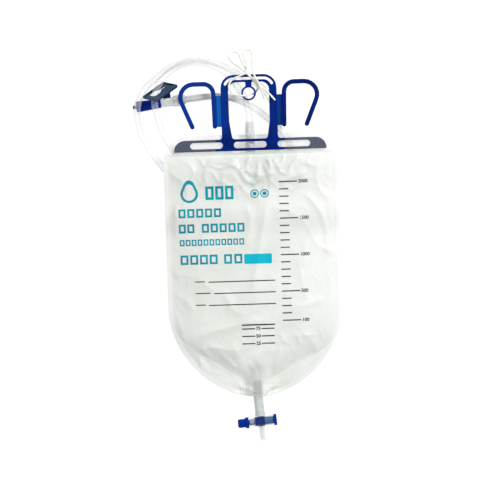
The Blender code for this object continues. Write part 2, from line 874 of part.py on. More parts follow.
def make_sleeve(clear):
    bore = tube_radius + gap
    taper_y = sleeve_top_y - sleeve_taper
    profile = [
        (sleeve_end_y, bore),
        (sleeve_end_y, sleeve_radius),
        (taper_y, sleeve_radius),
        (sleeve_top_y, sleeve_mouth_radius),
        (sleeve_top_y, bore),
    ]
    bm = turned(profile, small_round_steps, (0, 1, 0), closed=True)
    add_object("inlet_sleeve", mesh_from(bm, "inlet_sleeve"), clear, (0, 0, sleeve_z))


def make_reflux_valve(clear):
    """A film tube, round at the sleeve and pressed flat towards its lower end."""
    stations = 7
    steps = 16
    bm = bmesh.new()
    rings = []
    for shell in (0, film):
        loops = []
        for i in range(stations + 1):
            share = i / stations
            flat = smooth(0.0, 0.65, share)
            y = sleeve_end_y - gap - reflux_length * share
            half_width = sleeve_radius + (reflux_half_width - sleeve_radius) * smooth(0.0, 0.9, share)
            half_height = sleeve_radius + (reflux_thickness - sleeve_radius) * flat
            section = []
            for k in range(steps):
                angle = math.tau * k / steps
                section.append((half_width * math.cos(angle), half_height * math.sin(angle)))
            lowest = [back_height(x, y) + film + reflux_rise - rise for x, rise in section]
            z = max(*lowest, sleeve_z * (1 - share))
            loop = []
            for x, rise in section:
                across = x * (half_width - shell) / half_width
                up = rise * (half_height - shell) / half_height
                loop.append(bm.verts.new((across, y, z + up)))
            loops.append(loop)
        rings.append(loops)
    outer, inner = rings
    walls = list(zip(outer, outer[1:])) + list(zip(inner, inner[1:]))
    for a, b in walls + [(outer[0], inner[0]), (outer[-1], inner[-1])]:
        for k in range(steps):
            n = (k + 1) % steps
            bm.faces.new([a[k], a[n], b[n], b[k]])
    add_object("anti_reflux_valve", mesh_from(bm, "anti_reflux_valve"), clear)


# Connector, port, cap and clamp


def connector_axes():
    angle = math.radians(connector_angle)
    along = Vector((math.cos(angle), math.sin(angle), 0))
    up = Vector((0, 0, 1))
    return Matrix((along, up.cross(along), up)).transposed()


def branch_axes():
    """Side branch: square to the connector, towards its upper side, rising a little."""
    rise = math.radians(branch_rise)
    along = Vector((0, -math.cos(rise), math.sin(rise)))
    side = Vector((1, 0, 0))
    return Matrix((along, side, along.cross(side))).transposed()


def make_connector(clear, blue):
    place = (*connector_centre, connector_z)
    half_flange = flange_length / 2
    profile = [
        (-socket_length, 0),
        (-socket_length, collar_radius),
        (-socket_length + collar_length, collar_radius),
        (-socket_length + collar_length, neck_radius),
        (-half_flange, neck_radius),
        (-half_flange, flange_radius),
        (half_flange, flange_radius),
        (half_flange, barrel_root_radius),
        (barrel_end, barrel_end_radius),
        (barrel_end, nozzle_root_radius),
        (barrel_end + nozzle_length, nozzle_tip_radius),
        (barrel_end + nozzle_length, 0),
    ]
    body = mesh_from(turned(profile), "catheter_connector")
    connector = add_object("catheter_connector", body, clear, place, connector_axes())
    branch = turned([(0, 0), (0, branch_radius), (branch_length, branch_radius), (branch_length, 0)])
    bmesh.ops.transform(branch, matrix=branch_axes().to_4x4(), verts=branch.verts)
    shift = Vector((branch_station, 0, 0))
    bmesh.ops.translate(branch, verts=branch.verts, vec=shift)
    combine(connector, guide("branch", mesh_from(branch, "branch"), connector), "UNION")
    socket_radius = tube_radius + gap
    bore = [
        (-socket_length - 0.001, 0),
        (-socket_length - 0.001, socket_radius),
        (-0.001 + gap, socket_radius),
        (-0.001 + gap, nozzle_bore),
        (barrel_end + nozzle_length + 0.001, nozzle_bore),
        (barrel_end + nozzle_length + 0.001, 0),
    ]
    combine(connector, guide("connector_bore", mesh_from(turned(bore, 16), "bore"), connector), "DIFFERENCE")

    port_start = branch_length - port_length / 2
    port_end = port_start + port_length
    port = turned(
        [
            (branch_length + gap, 0),
            (branch_length + gap, branch_radius + gap),
            (port_start, branch_radius + gap),
            (port_start, port_radius),
            (port_end - 0.0012, port_radius),
            (port_end, port_radius - 0.0012),
            (port_end, 0),
        ]
    )
    bmesh.ops.transform(port, matrix=branch_axes().to_4x4(), verts=port.verts)
    bmesh.ops.translate(port, verts=port.verts, vec=shift)
    add_object("sampling_port", mesh_from(port, "sampling_port"), blue, place, connector_axes())

    start = barrel_end + gap
    end = start + cap_length
    inner_end = end - cap_wall * 1.5
    cap_profile = [
        (start, cap_open_radius - cap_wall),
        (start, cap_open_radius),
        (start + 0.002, cap_open_radius + 0.0003),
        (end - 0.0015, cap_end_radius),
        (end, cap_end_radius - 0.0012),
        (end, cap_nub_radius),
        (end + cap_nub_length - 0.0008, cap_nub_radius),
        (end + cap_nub_length, cap_nub_radius - 0.0007),
        (end + cap_nub_length, 0),
    ]
    inner = [(inner_end, 0), (inner_end, cap_end_radius - 2 * cap_wall)]
    cap = turned(inner + cap_profile)
    add_object("connector_cap", mesh_from(cap, "connector_cap"), blue, place, connector_axes())


def make_clamp(blue):
    """Plate with a raised rim and a keyhole slot, modelled round the tube's hole."""
    along = Vector(clamp_along).normalized()
    facing = Vector(clamp_facing)
    facing = (facing - along * facing.dot(along)).normalized()
    axes = Matrix((along, facing.cross(along), facing)).transposed()
    left = -clamp_hole_from_end
    top = clamp_hole_from_edge
    bottom = top - clamp_width
    half = clamp_thickness / 2

    def plate(inset, low, high):
        corners = [
            (left + inset, top - inset, clamp_corner),
            (left + clamp_length - inset, top - inset, clamp_corner),
            (left + clamp_length + clamp_slant - inset, bottom + inset, clamp_corner),
            (left + clamp_slant + inset, bottom + inset, clamp_corner),
        ]
        return slab(rounded(corners, steps=4), [], low, high)

    mesh = mesh_from(plate(0, -half, half), "slide_clamp")
    clamp = add_object("slide_clamp", mesh, blue, clamp_hole, axes)
    recess = plate(clamp_rim, half - clamp_recess, half + 0.001)
    combine(clamp, guide("clamp_recess", mesh_from(recess, "recess"), clamp), "DIFFERENCE")
    radius = clamp_hole_width / 2
    run = clamp_hole_length / 2 - radius
    slot_half = clamp_slot_width / 2
    tip = clamp_slot_end - slot_half
    keyhole = arc((-run, 0), radius, 270, 90, 10)
    keyhole += arc((run, 0), radius, 90, 50, 3)
    keyhole += [(run + clamp_throat, slot_half)]
    keyhole += arc((tip, 0), slot_half, 90, -90, 6)
    keyhole += [(run + clamp_throat, -slot_half)]
    keyhole += arc((run, 0), radius, -50, -90, 3)
    cutter = slab(keyhole, [], -half - 0.001, half + 0.001)
    combine(clamp, guide("clamp_keyhole", mesh_from(cutter, "keyhole"), clamp), "DIFFERENCE")


# Outlet and valve


def outlet_axes():
    """Local Y points from the valve to the bag, local X along the valve's barrel."""
    return Matrix.Rotation(lean, 3, "Z")


def valve_centre():
    return (valve_distance * math.sin(lean), -valve_distance * math.cos(lean), valve_z)


def make_outlet(clear, blue, rubber):
    axes = outlet_axes()
    centre = valve_centre()
    lower = valve_barrel_radius + 0.0008
    upper = valve_distance + outlet_tube_inside_bag
    inner = outlet_tube_radius - outlet_tube_wall
    tube_profile = [
        (lower, inner),
        (lower, outlet_tube_radius + outlet_tube_flare),
        (lower + 0.0028, outlet_tube_radius + outlet_tube_flare * 0.4),
        (lower + 0.0048, outlet_tube_radius),
        (upper, outlet_tube_radius),
        (upper, inner),
    ]
    tube = turned(tube_profile, round_steps, (0, 1, 0), closed=True)
    add_object("outlet_tube", mesh_from(tube, "outlet_tube"), clear, centre, axes)

    left = -valve_barrel_left
    right = valve_barrel_right
    barrel = turned([(left, 0), (left, valve_barrel_radius), (right, valve_barrel_radius), (right, 0)])
    body = add_object("valve_body", mesh_from(barrel, "valve_body"), clear, centre, axes)
    nipple_top = valve_barrel_radius + nipple_length
    nipple_radius = inner - gap
    stalk = [
        (nipple_top, 0),
        (nipple_top, nipple_radius - 0.0006),
        (nipple_top - 0.002, nipple_radius),
        (0.0005, nipple_radius),
        (-valve_barrel_radius + 0.0006, spout_root_radius - 0.0002),
        (-valve_barrel_radius - spout_root_length, spout_radius),
        (-spout_length, spout_radius),
        (-spout_length, 0),
    ]
    stalk_mesh = mesh_from(turned(stalk, small_round_steps, (0, 1, 0)), "stalk")
    combine(body, guide("valve_stalk", stalk_mesh, body), "UNION")
    reach = 0.002
    bore = turned([(left - reach, 0), (left - reach, bore_radius), (right + reach, bore_radius), (right + reach, 0)])
    combine(body, guide("valve_bore", mesh_from(bore, "bore"), body), "DIFFERENCE")
    low = -spout_length - reach
    high = nipple_top + reach
    passage = turned([(low, 0), (low, spout_bore), (high, spout_bore), (high, 0)], 16, (0, 1, 0))
    combine(body, guide("valve_passage", mesh_from(passage, "passage"), body), "DIFFERENCE")

    neck_start = left - stem_travel - gap
    collar_start = neck_start - collar_disc_length
    knob_start = collar_start - knob_length
    groove_radius = piston_radius - seal_radial
    flange_start = right + gap
    waist = -stem_travel
    stem = [(knob_start, 0), (knob_start, knob_radius - 0.0012), (knob_start + 0.0012, knob_radius)]
    stem += [(collar_start - 0.0006, knob_radius), (collar_start, collar_disc_radius)]
    stem += [(neck_start, collar_disc_radius), (neck_start, stem_neck_radius)]
    stem += [(left + 0.0006, stem_neck_radius), (left + 0.0006, piston_radius)]
    stem += [(waist - waist_length / 2, piston_radius), (waist - waist_length / 2, stem_neck_radius)]
    stem += [(waist + waist_length / 2, stem_neck_radius), (waist + waist_length / 2, piston_radius)]
    for place in (-seal_spacing, seal_spacing):
        low_edge = place - seal_width / 2 - running_gap
        high_edge = place + seal_width / 2 + running_gap
        stem += [(low_edge, piston_radius), (low_edge, groove_radius)]
        stem += [(high_edge, groove_radius), (high_edge, piston_radius)]
    stem += [(flange_start, piston_radius), (flange_start, stem_flange_radius)]
    stem += [(flange_start + stem_flange_length - 0.0005, stem_flange_radius)]
    stem += [(flange_start + stem_flange_length, stem_flange_radius - 0.0005)]
    stem += [(flange_start + stem_flange_length, 0)]
    add_object("valve_stem", mesh_from(turned(stem, small_round_steps), "valve_stem"), blue, centre, axes)

    seal_inner = groove_radius + running_gap / 2
    seal_outer = bore_radius - running_gap / 2
    for name, place in (("stem_seal_left", -seal_spacing), ("stem_seal_right", seal_spacing)):
        low_edge = place - seal_width / 2
        high_edge = place + seal_width / 2
        loop = [
            (low_edge, seal_inner),
            (low_edge + seal_crown, seal_outer),
            (high_edge - seal_crown, seal_outer),
            (high_edge, seal_inner),
        ]
        ring = turned(loop, small_round_steps, closed=True)
        add_object(name, mesh_from(ring, name), rubber, centre, axes)


clear_scene()
object_frame = bpy.data.objects.new("object_frame", None)
bpy.context.scene.collection.objects.link(object_frame)
object_frame.location = (0, origin_shift, 0)

hanger_blue = finish("hanger_blue", (0.010, 0.040, 0.210), 0.35)
clamp_blue = finish("clamp_blue", (0.020, 0.070, 0.240), 0.30)
cap_blue = finish("cap_blue", (0.010, 0.045, 0.240), 0.35)
port_blue = finish("port_blue", (0.010, 0.020, 0.100), 0.45)
stem_blue = finish("stem_blue", (0.015, 0.060, 0.340), 0.35)
seal_black = finish("seal_black", (0.020, 0.020, 0.025), 0.60)
bag_film = finish("bag_film", (0.86, 0.88, 0.87), 0.35, alpha=0.75)
soft_clear = finish("soft_clear", (0.80, 0.84, 0.84), 0.25, alpha=0.5, transmission=0.3)
hard_clear = finish("hard_clear", (0.85, 0.88, 0.88), 0.15, alpha=0.5, transmission=0.3)
cotton = finish("cotton", (0.90, 0.90, 0.84), 0.85)

make_frame(hanger_blue)
make_hook("hook_left", -1, hanger_blue)
make_hook("hook_right", 1, hanger_blue)
make_bag(bag_film)
make_sleeve(soft_clear)
make_reflux_valve(bag_film)
make_connector(hard_clear, port_blue)
make_clamp(clamp_blue)
make_outlet(soft_clear, stem_blue, seal_black)

connector_frame = connector_axes()
socket = Vector((*connector_centre, connector_z))
tube_end = [
    tuple(socket + connector_frame @ Vector((-socket_length, 0, 0))),
    tuple(socket + connector_frame @ Vector((-0.001, 0, 0))),
]
tube_line = from_top(tube_route) + tube_end
cord("drainage_tube", tube_line, tube_radius, tube_point_spacing, tube_facets, soft_clear)
cord("tie_cord", from_top(tie_route), tie_cord_radius, tie_point_spacing, tie_facets, cotton)
bpy.context.view_layer.update()
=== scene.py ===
# The looks of a two-litre urine drainage bag that lies on its back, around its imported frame

import math

import bmesh
import bpy
import numpy as np
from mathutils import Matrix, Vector, noise
from mathutils.bvhtree import BVHTree


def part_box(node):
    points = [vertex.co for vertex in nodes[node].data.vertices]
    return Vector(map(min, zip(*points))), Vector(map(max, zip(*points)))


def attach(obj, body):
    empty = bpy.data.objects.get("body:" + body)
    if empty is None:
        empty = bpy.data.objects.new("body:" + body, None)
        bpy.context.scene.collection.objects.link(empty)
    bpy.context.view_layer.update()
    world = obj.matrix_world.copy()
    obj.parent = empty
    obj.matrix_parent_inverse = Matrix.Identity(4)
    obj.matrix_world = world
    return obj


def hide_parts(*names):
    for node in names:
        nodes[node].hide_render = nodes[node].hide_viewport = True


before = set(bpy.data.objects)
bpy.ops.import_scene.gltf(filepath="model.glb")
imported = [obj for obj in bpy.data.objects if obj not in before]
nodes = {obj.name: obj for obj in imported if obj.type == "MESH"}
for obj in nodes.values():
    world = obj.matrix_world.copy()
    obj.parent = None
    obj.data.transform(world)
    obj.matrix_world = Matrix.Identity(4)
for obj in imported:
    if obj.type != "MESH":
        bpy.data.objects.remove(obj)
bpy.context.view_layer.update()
print("frame loaded")

# Bag measures, in metres; the bag's own y starts at its lowest point
bag = {
    "length": 0.293,
    "halfWidth": 0.0975,
    "cornerRadius": 0.030,
    "funnelHeight": 0.101,
    "funnelRoundness": 1.9,
    "notchHalfWidth": 0.038,
    "barUnder": 0.2746,
    "barOver": 0.2876,
}
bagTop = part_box("front_sheet")[1].y
lowestY = bagTop - bag["length"]


def ownY(y):  # from the bag's own y to the frame's
    return lowestY + y


# The middle of the valve's barrel, halfway between its two seals, and the ways along and across it
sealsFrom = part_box("stem_seal_left")[0]
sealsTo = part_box("stem_seal_right")[1]
valveCentre = tuple((low + high) / 2 for low, high in zip(sealsFrom, sealsTo))
valveAlong = (0.9962, 0.0872, 0)
valveAcross = (-0.0872, 0.9962, 0)


def smooth(low, high, value):
    t = min(max((value - low) / (high - low), 0.0), 1.0)
    return t * t * (3 - 2 * t)


# Camera: straight above, a long lens, turned as the bag lies in the photograph
camera = {
    "pixelSize": 0.00112,
    "frameWidth": 480,
    "lens": 200.0,
    "sensor": 36.0,
    "clipEnd": 20.0,
    "turn": 1.8,
    "lookAt": (-0.0147, 0.1753),
}
cameraData = bpy.data.cameras.new("camera")
cameraData.lens = camera["lens"]
cameraData.sensor_width = camera["sensor"]
cameraData.clip_end = camera["clipEnd"]
cameraObject = bpy.data.objects.new("camera", cameraData)
bpy.context.scene.collection.objects.link(cameraObject)
viewWidth = camera["pixelSize"] * camera["frameWidth"]
cameraHeight = viewWidth * camera["lens"] / camera["sensor"]
cameraObject.location = (camera["lookAt"][0], ownY(camera["lookAt"][1]), cameraHeight)
cameraObject.rotation_euler = (0, 0, -math.radians(camera["turn"]))
bpy.context.scene.camera = cameraObject


# Shader maths: a socket that can be added, multiplied and compared
class Amount:
    def __init__(self, finish, socket):
        self.finish = finish
        self.socket = socket

    def join(self, operation, first, second):
        return self.finish.node("ShaderNodeMath", {"operation": operation}, {0: first, 1: second})

    def __add__(self, other):
        return self.join("ADD", self, other)

    def __radd__(self, other):
        return self.join("ADD", other, self)

    def __rsub__(self, other):
        return self.join("SUBTRACT", other, self)

    def __mul__(self, other):
        return self.join("MULTIPLY", self, other)

    def __rmul__(self, other):
        return self.join("MULTIPLY", other, self)

    def __pow__(self, other):
        return self.join("POWER", self, other)

    def __abs__(self):
        return self.finish.node("ShaderNodeMath", {"operation": "ABSOLUTE"}, {0: self})

    def atLeast(self, other):
        return self.join("MAXIMUM", self, other)

    def atMost(self, other):
        return self.join("MINIMUM", self, other)


class Finish:
    def __init__(self, name, **fixed):
        self.material = bpy.data.materials.new(name)
        self.material.use_nodes = True
        self.tree = self.material.node_tree
        self.shader = self.tree.nodes["Principled BSDF"]
        self.place = self.node("ShaderNodeTexCoord", output="Object")
        for socket, value in fixed.items():
            self.shader.inputs[socket.replace("_", " ")].default_value = value

    def node(self, kind, settings=None, inputs=None, output=0):
        made = self.tree.nodes.new(kind)
        for key, value in (settings or {}).items():
            setattr(made, key, value)
        for key, value in (inputs or {}).items():
            if isinstance(value, Amount):
                self.tree.links.new(value.socket, made.inputs[key])
            else:
                made.inputs[key].default_value = value
        return Amount(self, made.outputs[output])

    def feed(self, socket, source):
        self.tree.links.new(source.socket, self.shader.inputs[socket])

    def grain(self, scale, detail=3.0, roughness=0.55, stretch=(1, 1, 1), distortion=0.0):
        place = self.place
        if stretch != (1, 1, 1):
            place = self.node("ShaderNodeVectorMath", {"operation": "MULTIPLY"}, {0: place, 1: stretch})
        inputs = {"Vector": place, "Scale": scale, "Detail": detail, "Roughness": roughness}
        inputs["Distortion"] = distortion
        return self.node("ShaderNodeTexNoise", inputs=inputs)

    def facing(self):
        return self.node("ShaderNodeLayerWeight", None, {"Blend": 0.5}, "Facing")

    def attribute(self, name):
        return self.node("ShaderNodeAttribute", {"attribute_name": name}, output="Fac")

    def onAxis(self, axis):
        return self.node("ShaderNodeSeparateXYZ", None, {"Vector": self.place}, axis)

    def between(self, value, low, high):
        inputs = {"Value": value, "From Min": low, "From Max": high}
        return self.node("ShaderNodeMapRange", {"clamp": True}, inputs)

    def colours(self, amount, first, second):
        made = self.tree.nodes.new("ShaderNodeMix")
        made.data_type = "RGBA"
        for key, value in (("Factor", amount), ("A", first), ("B", second)):
            slot = [s for s in made.inputs if s.name == key and s.enabled][0]
            if isinstance(value, Amount):
                self.tree.links.new(value.socket, slot)
            else:
                slot.default_value = value
        result = [s for s in made.outputs if s.enabled][0]
        return Amount(self, result)

    def emboss(self, height, distance, strength=1.0):
        inputs = {"Height": height, "Distance": distance, "Strength": strength}
        self.feed("Normal", self.node("ShaderNodeBump", inputs=inputs))


def rgb(red, green, blue):
    return (red, green, blue, 1.0)


# Moulded plastics; the hanger gets painted light: a painted reflection makes it lighter to the left,
# its thin hinge webs take that painted reflection too, and painted shade darkens its bar's ends under
# the film
plastic = {
    "cloud": 55.0,
    "fleck": 900.0,
    "scuff": 260.0,
    "mottled": (0.35, 0.70),
    "scuffed": (0.62, 0.74),
    "scuffShare": 0.2,
    "wear": 0.04,
    "bump": 0.00006,
}
hangerLook = {
    "dark": 0.045,
    "light": -0.060,
    "rise": 0.020,
    "share": 0.55,
    # the lighter blue painted on the left as a reflection of light
    "colour": (0.0030, 0.0480, 0.340),
    "webFrom": 0.0311,
    "webTo": 0.0363,
    "webBlur": 0.0004,
    "webLeast": 0.08,
    "webPaintedLight": 0.72,
    # the thin webs' own lighter blue, which the painted reflection makes stronger on the left
    "web": (0.0080, 0.1700, 0.560),
    "filmShadeBlur": 0.0005,
    "filmShadeShare": 0.75,
    # the dark blue painted as shade where the film covers the bar
    "filmShade": (0.0006, 0.0120, 0.040),
}


def hangerTonesAndPaintedLight(finish, base):
    across = finish.onAxis("X")
    upward = finish.onAxis("Y")
    off = abs(across)
    barTop = ownY(bag["barOver"])
    # painted reflection: the hanger turns lighter towards its left, above the top of the bar
    paintedLeftLight = finish.between(across, hangerLook["dark"], hangerLook["light"])
    paintedLeftLight = paintedLeftLight * finish.between(upward, barTop, barTop + hangerLook["rise"])
    base = finish.colours(hangerLook["share"] * paintedLeftLight, base, rgb(*hangerLook["colour"]))
    blur = hangerLook["webBlur"]
    thin = finish.between(off, hangerLook["webFrom"], hangerLook["webFrom"] + blur)
    thin = thin * finish.between(off, hangerLook["webTo"], hangerLook["webTo"] - blur)
    # the webs are a little lighter of their own, and much lighter where the painted reflection from the
    # left falls
    webTintAndPaintedLight = hangerLook["webLeast"] + hangerLook["webPaintedLight"] * paintedLeftLight
    base = finish.colours(thin * webTintAndPaintedLight, base, rgb(*hangerLook["web"]))
    # painted shade: the bar's ends under the film are darkened
    blur = hangerLook["filmShadeBlur"]
    filmShade = finish.between(off, bag["notchHalfWidth"] - blur, bag["notchHalfWidth"] + blur)
    filmShade = filmShade * finish.between(upward, barTop + 2 * blur, barTop)
    return finish.colours(hangerLook["filmShadeShare"] * filmShade, base, rgb(*hangerLook["filmShade"]))


def mouldedPlastic(name, colour, pale, roughness, sheen=0.05, tones=None):
    finish = Finish(name, IOR=1.50, Specular_IOR_Level=sheen)
    cloud = finish.grain(plastic["cloud"], 3.0)
    fleck = finish.grain(plastic["fleck"], 2.0)
    scuff = finish.grain(plastic["scuff"], 4.0, 0.7, (1, 0.25, 1), 0.6)
    mark = finish.between(scuff, *plastic["scuffed"])
    tone = finish.between(cloud, *plastic["mottled"])
    base = finish.colours(tone, rgb(*colour), rgb(*pale))
    worn = rgb(*[c + plastic["wear"] for c in pale])
    base = finish.colours(mark * plastic["scuffShare"], base, worn)
    if tones:
        base = tones(finish, base)
    finish.feed("Base Color", base)
    finish.feed("Roughness", roughness + 0.10 * tone + 0.12 * mark + 0.05 * fleck)
    finish.emboss(0.6 * fleck + 0.4 * cloud, plastic["bump"], 0.5)
    return finish.material


# Colour, pale colour, roughness, gloss and special tones, which on the hanger are painted light and
# shade
blueLooks = {
    "hangerBlue": ((0.0004, 0.0085, 0.105), (0.0008, 0.0150, 0.180), 0.26, 0.05, hangerTonesAndPaintedLight),
    "clampBlue": ((0.0010, 0.0220, 0.066), (0.0030, 0.0350, 0.096), 0.16, 0.32),
    "capBlue": ((0.0002, 0.0150, 0.210), (0.0006, 0.0230, 0.280), 0.30),
    "portBlue": ((0.0015, 0.0080, 0.045), (0.0030, 0.0120, 0.070), 0.40),
    "stemBlue": ((0.0004, 0.0220, 0.230), (0.0010, 0.0360, 0.320), 0.28),
}
blues = {name: mouldedPlastic(name, *look) for name, look in blueLooks.items()}


def sealRubber():
    finish = Finish("sealRubber", Specular_IOR_Level=0.35)
    fine = finish.grain(1200.0, 2.0)
    finish.feed("Base Color", finish.colours(fine, rgb(0.015, 0.015, 0.018), rgb(0.035, 0.035, 0.04)))
    finish.feed("Roughness", 0.5 + 0.15 * fine)
    finish.emboss(fine, 0.00003)
    return finish.material


def clearPlastic(name, body, rim, clear, solid, power, greyEndAlpha=None):
    # See-through face on, and darker and denser where the wall turns away
    finish = Finish(name, IOR=1.40, Specular_IOR_Level=0.38)
    cloud = finish.grain(120.0, 3.0)
    turned = finish.facing() ** power
    milk = finish.between(cloud, 0.35, 0.65)
    pale = rgb(*[min(c * 1.08, 1.0) for c in body])
    inner = finish.colours(milk, rgb(*body), pale)
    centre = clear * (0.8 + 0.4 * milk)
    # the end of the tube by the connector is greyer and less clear
    if greyEndAlpha:
        more = finish.attribute("greyEnd")
        inner = finish.colours(more, inner, rgb(*[c * 0.86 for c in body]))
        centre = centre + greyEndAlpha * more
    finish.feed("Base Color", finish.colours(turned, inner, rgb(*rim)))
    finish.feed("Roughness", 0.22 + 0.10 * cloud)
    finish.feed("Alpha", (centre + (solid - clear) * turned).atMost(1.0))
    finish.emboss(cloud, 0.00004, 0.2)
    return finish.material


# Body and rim colour, alpha face on and at the rim, how late it turns, and what alpha the greyer end
# adds
clearLooks = {
    "tubeClear": ((0.86, 0.88, 0.87), (0.62, 0.67, 0.68), 0.08, 0.66, 2.2, 0.36),
    "sleeveClear": ((0.92, 0.94, 0.95), (0.70, 0.73, 0.75), 0.30, 0.85, 2.2),
    "hardClear": ((0.80, 0.82, 0.81), (0.40, 0.44, 0.46), 0.40, 0.80, 2.0),
    "outletClear": ((0.77, 0.82, 0.80), (0.46, 0.50, 0.50), 0.50, 0.85, 1.7),
    "neckClear": ((0.36, 0.47, 0.53), (0.16, 0.26, 0.34), 0.75, 0.95, 1.5),
}
clears = {name: clearPlastic(name, *look) for name, look in clearLooks.items()}

# The valve's thick wall fills with the stem's blue, pales at its open end and is grey on the spout
valveLook = {
    "openEnd": (0.0044, 0.0052),
    "filled": (-0.0068, -0.0062),
    "stalk": (0.0052, 0.0058),
    "wall": (0.60, 0.66, 0.70),
    "end": (0.26, 0.48, 0.58),
    "core": (0.0006, 0.0200, 0.190),
    "rim": (0.004, 0.045, 0.220),
    "spout": (0.84, 0.87, 0.86),
    "spoutRim": (0.50, 0.54, 0.55),
    "wallAlpha": 0.10,
    "endAlpha": 0.04,
    "coreAlpha": 0.58,
    "spoutAlpha": 0.28,
    "rimAlpha": 0.45,
    "cloudAlpha": 0.04,
}


def valveClear():
    finish = Finish("valveClear", IOR=1.40, Specular_IOR_Level=0.5)
    cloud = finish.grain(160.0, 3.0)
    turned = finish.facing() ** 2.0
    vectors = {0: finish.place, 1: valveCentre}
    away = finish.node("ShaderNodeVectorMath", {"operation": "SUBTRACT"}, vectors)
    dot = {"operation": "DOT_PRODUCT"}
    along = finish.node("ShaderNodeVectorMath", dot, {0: away, 1: valveAlong}, "Value")
    across = finish.node("ShaderNodeVectorMath", dot, {0: away, 1: valveAcross}, "Value")
    openEnd = finish.between(along, *valveLook["openEnd"])
    filled = finish.between(along, *valveLook["filled"]) * (1 - openEnd)
    stalk = finish.between(abs(across), *valveLook["stalk"])
    body = finish.colours(openEnd, rgb(*valveLook["wall"]), rgb(*valveLook["end"]))
    body = finish.colours(filled, body, rgb(*valveLook["core"]))
    body = finish.colours(stalk, body, rgb(*valveLook["spout"]))
    rim = finish.colours(stalk, rgb(*valveLook["rim"]), rgb(*valveLook["spoutRim"]))
    finish.feed("Base Color", finish.colours(turned, body, rim))
    clear = valveLook["wallAlpha"] + valveLook["endAlpha"] * openEnd + valveLook["coreAlpha"] * filled
    clear = clear * (1 - stalk) + valveLook["spoutAlpha"] * stalk
    clear = clear + valveLook["rimAlpha"] * turned + valveLook["cloudAlpha"] * cloud
    finish.feed("Alpha", clear.atMost(1.0))
    finish.feed("Roughness", 0.15 + 0.15 * cloud)
    finish.emboss(cloud, 0.00004, 0.3)
    return finish.material


filmLook = {
    "cloud": 22.0,
    "crinkle": 160.0,
    "fine": 1100.0,
    "tint": (0.785, 0.826, 0.768),
    "lightTint": (0.905, 0.924, 0.884),
    # grey of the film pressed onto the outlet, also painted as shade below the bar
    "clingAndShadeTint": (0.48, 0.50, 0.49),
    "clingAndShadeShare": 0.75,
    "white": (0.935, 0.942, 0.918),
    "paleShare": 0.85,
    "weldShare": 0.45,
    "weldAlpha": 0.08,
    "bump": 0.00035,
    "frontAlpha": (0.10, 0.84),
    "backAlpha": (0.45, 0.80),
}
filmLayers = ("veil", "weld", "pale", "clingAndShade")


def frostedFilm(name, alphaLow, alphaHigh):
    finish = Finish(name, IOR=1.42, Specular_IOR_Level=0.38)
    cloud = finish.grain(filmLook["cloud"], 4.0, 0.6)
    crinkle = finish.grain(filmLook["crinkle"], 5.0, 0.65, (1, 1, 1), 1.2)
    fine = finish.grain(filmLook["fine"], 2.0)
    veil, weld, pale, clingAndShade = [finish.attribute(mark) for mark in filmLayers]
    tone = finish.between(cloud, 0.30, 0.70)
    base = finish.colours(tone, rgb(*filmLook["tint"]), rgb(*filmLook["lightTint"]))
    # the film greys where it presses on the outlet, and painted shade greys its top below the bar
    base = finish.colours(filmLook["clingAndShadeShare"] * clingAndShade, base, rgb(*filmLook["clingAndShadeTint"]))
    # pale holds painted light on the right and over the funnel's left, and painted shade at the top
    # middle
    white = (filmLook["paleShare"] * pale + filmLook["weldShare"] * weld).atMost(1.0)
    finish.feed("Base Color", finish.colours(white, base, rgb(*filmLook["white"])))
    finish.feed("Roughness", 0.26 + 0.16 * tone + 0.08 * fine)
    alpha = alphaLow + (alphaHigh - alphaLow) * veil + filmLook["weldAlpha"] * weld
    finish.feed("Alpha", alpha.atMost(1.0))
    finish.emboss(crinkle + 0.15 * fine, filmLook["bump"], 0.5)
    return finish.material


frontFilmFinish = frostedFilm("frontFilm", *filmLook["frontAlpha"])
backFilmFinish = frostedFilm("backFilm", *filmLook["backAlpha"])


def printInk(name, colour, faded):
    finish = Finish(name, Specular_IOR_Level=0.12)
    cloud = finish.grain(70.0, 3.0)
    speck = finish.grain(1500.0, 2.0)
    thin = finish.between(speck, 0.62, 0.78)
    tone = finish.colours(finish.between(cloud, 0.3, 0.7), rgb(*colour), rgb(*faded))
    finish.feed("Base Color", finish.colours(thin * 0.2, tone, rgb(0.8, 0.83, 0.82)))
    finish.feed("Roughness", 0.35 + 0.1 * cloud)
    return finish.material


tealInk = printInk("tealInk", (0.001, 0.230, 0.310), (0.002, 0.360, 0.440))
badgeInk = printInk("badgeInk", (0.001, 0.420, 0.560), (0.002, 0.500, 0.650))
darkInk = printInk("darkInk", (0.020, 0.018, 0.020), (0.045, 0.043, 0.045))


def twistedCotton():
    finish = Finish("twistedCotton", Specular_IOR_Level=0.2, Sheen_Weight=0.3)
    fibre = finish.grain(2600.0, 3.0, 0.6, (1, 1, 1), 0.8)
    cloud = finish.grain(240.0, 2.0)
    finish.feed("Base Color", finish.colours(cloud, rgb(0.81, 0.82, 0.74), rgb(0.90, 0.91, 0.85)))
    finish.feed("Roughness", 0.80 + 0.15 * fibre)
    finish.emboss(fibre, 0.00010, 0.6)
    return finish.material


cotton = twistedCotton()
print("finishes ready")

edges = {"merge": 0.000005, "sharpness": 32.0}


def dressNode(name, material):  # keeps the CAD shape, with smooth shading
    obj = nodes[name]
    obj.data.materials.clear()
    obj.data.materials.append(material)
    for polygon in obj.data.polygons:
        polygon.use_smooth = True
    weld = obj.modifiers.new("weld", "WELD")
    weld.merge_threshold = edges["merge"]
    split = obj.modifiers.new("edges", "EDGE_SPLIT")
    split.split_angle = math.radians(edges["sharpness"])


def meshOf(bm, name, smoothShade):
    mesh = bpy.data.meshes.new(name)
    bm.to_mesh(mesh)
    bm.free()
    if smoothShade:
        mesh.shade_smooth()
    return mesh


def addMesh(name, bm, material, body, smoothShade=True):
    mesh = meshOf(bm, name, smoothShade)
    obj = bpy.data.objects.new(name, mesh)
    bpy.context.scene.collection.objects.link(obj)
    mesh.materials.append(material)
    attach(obj, body)
    return obj


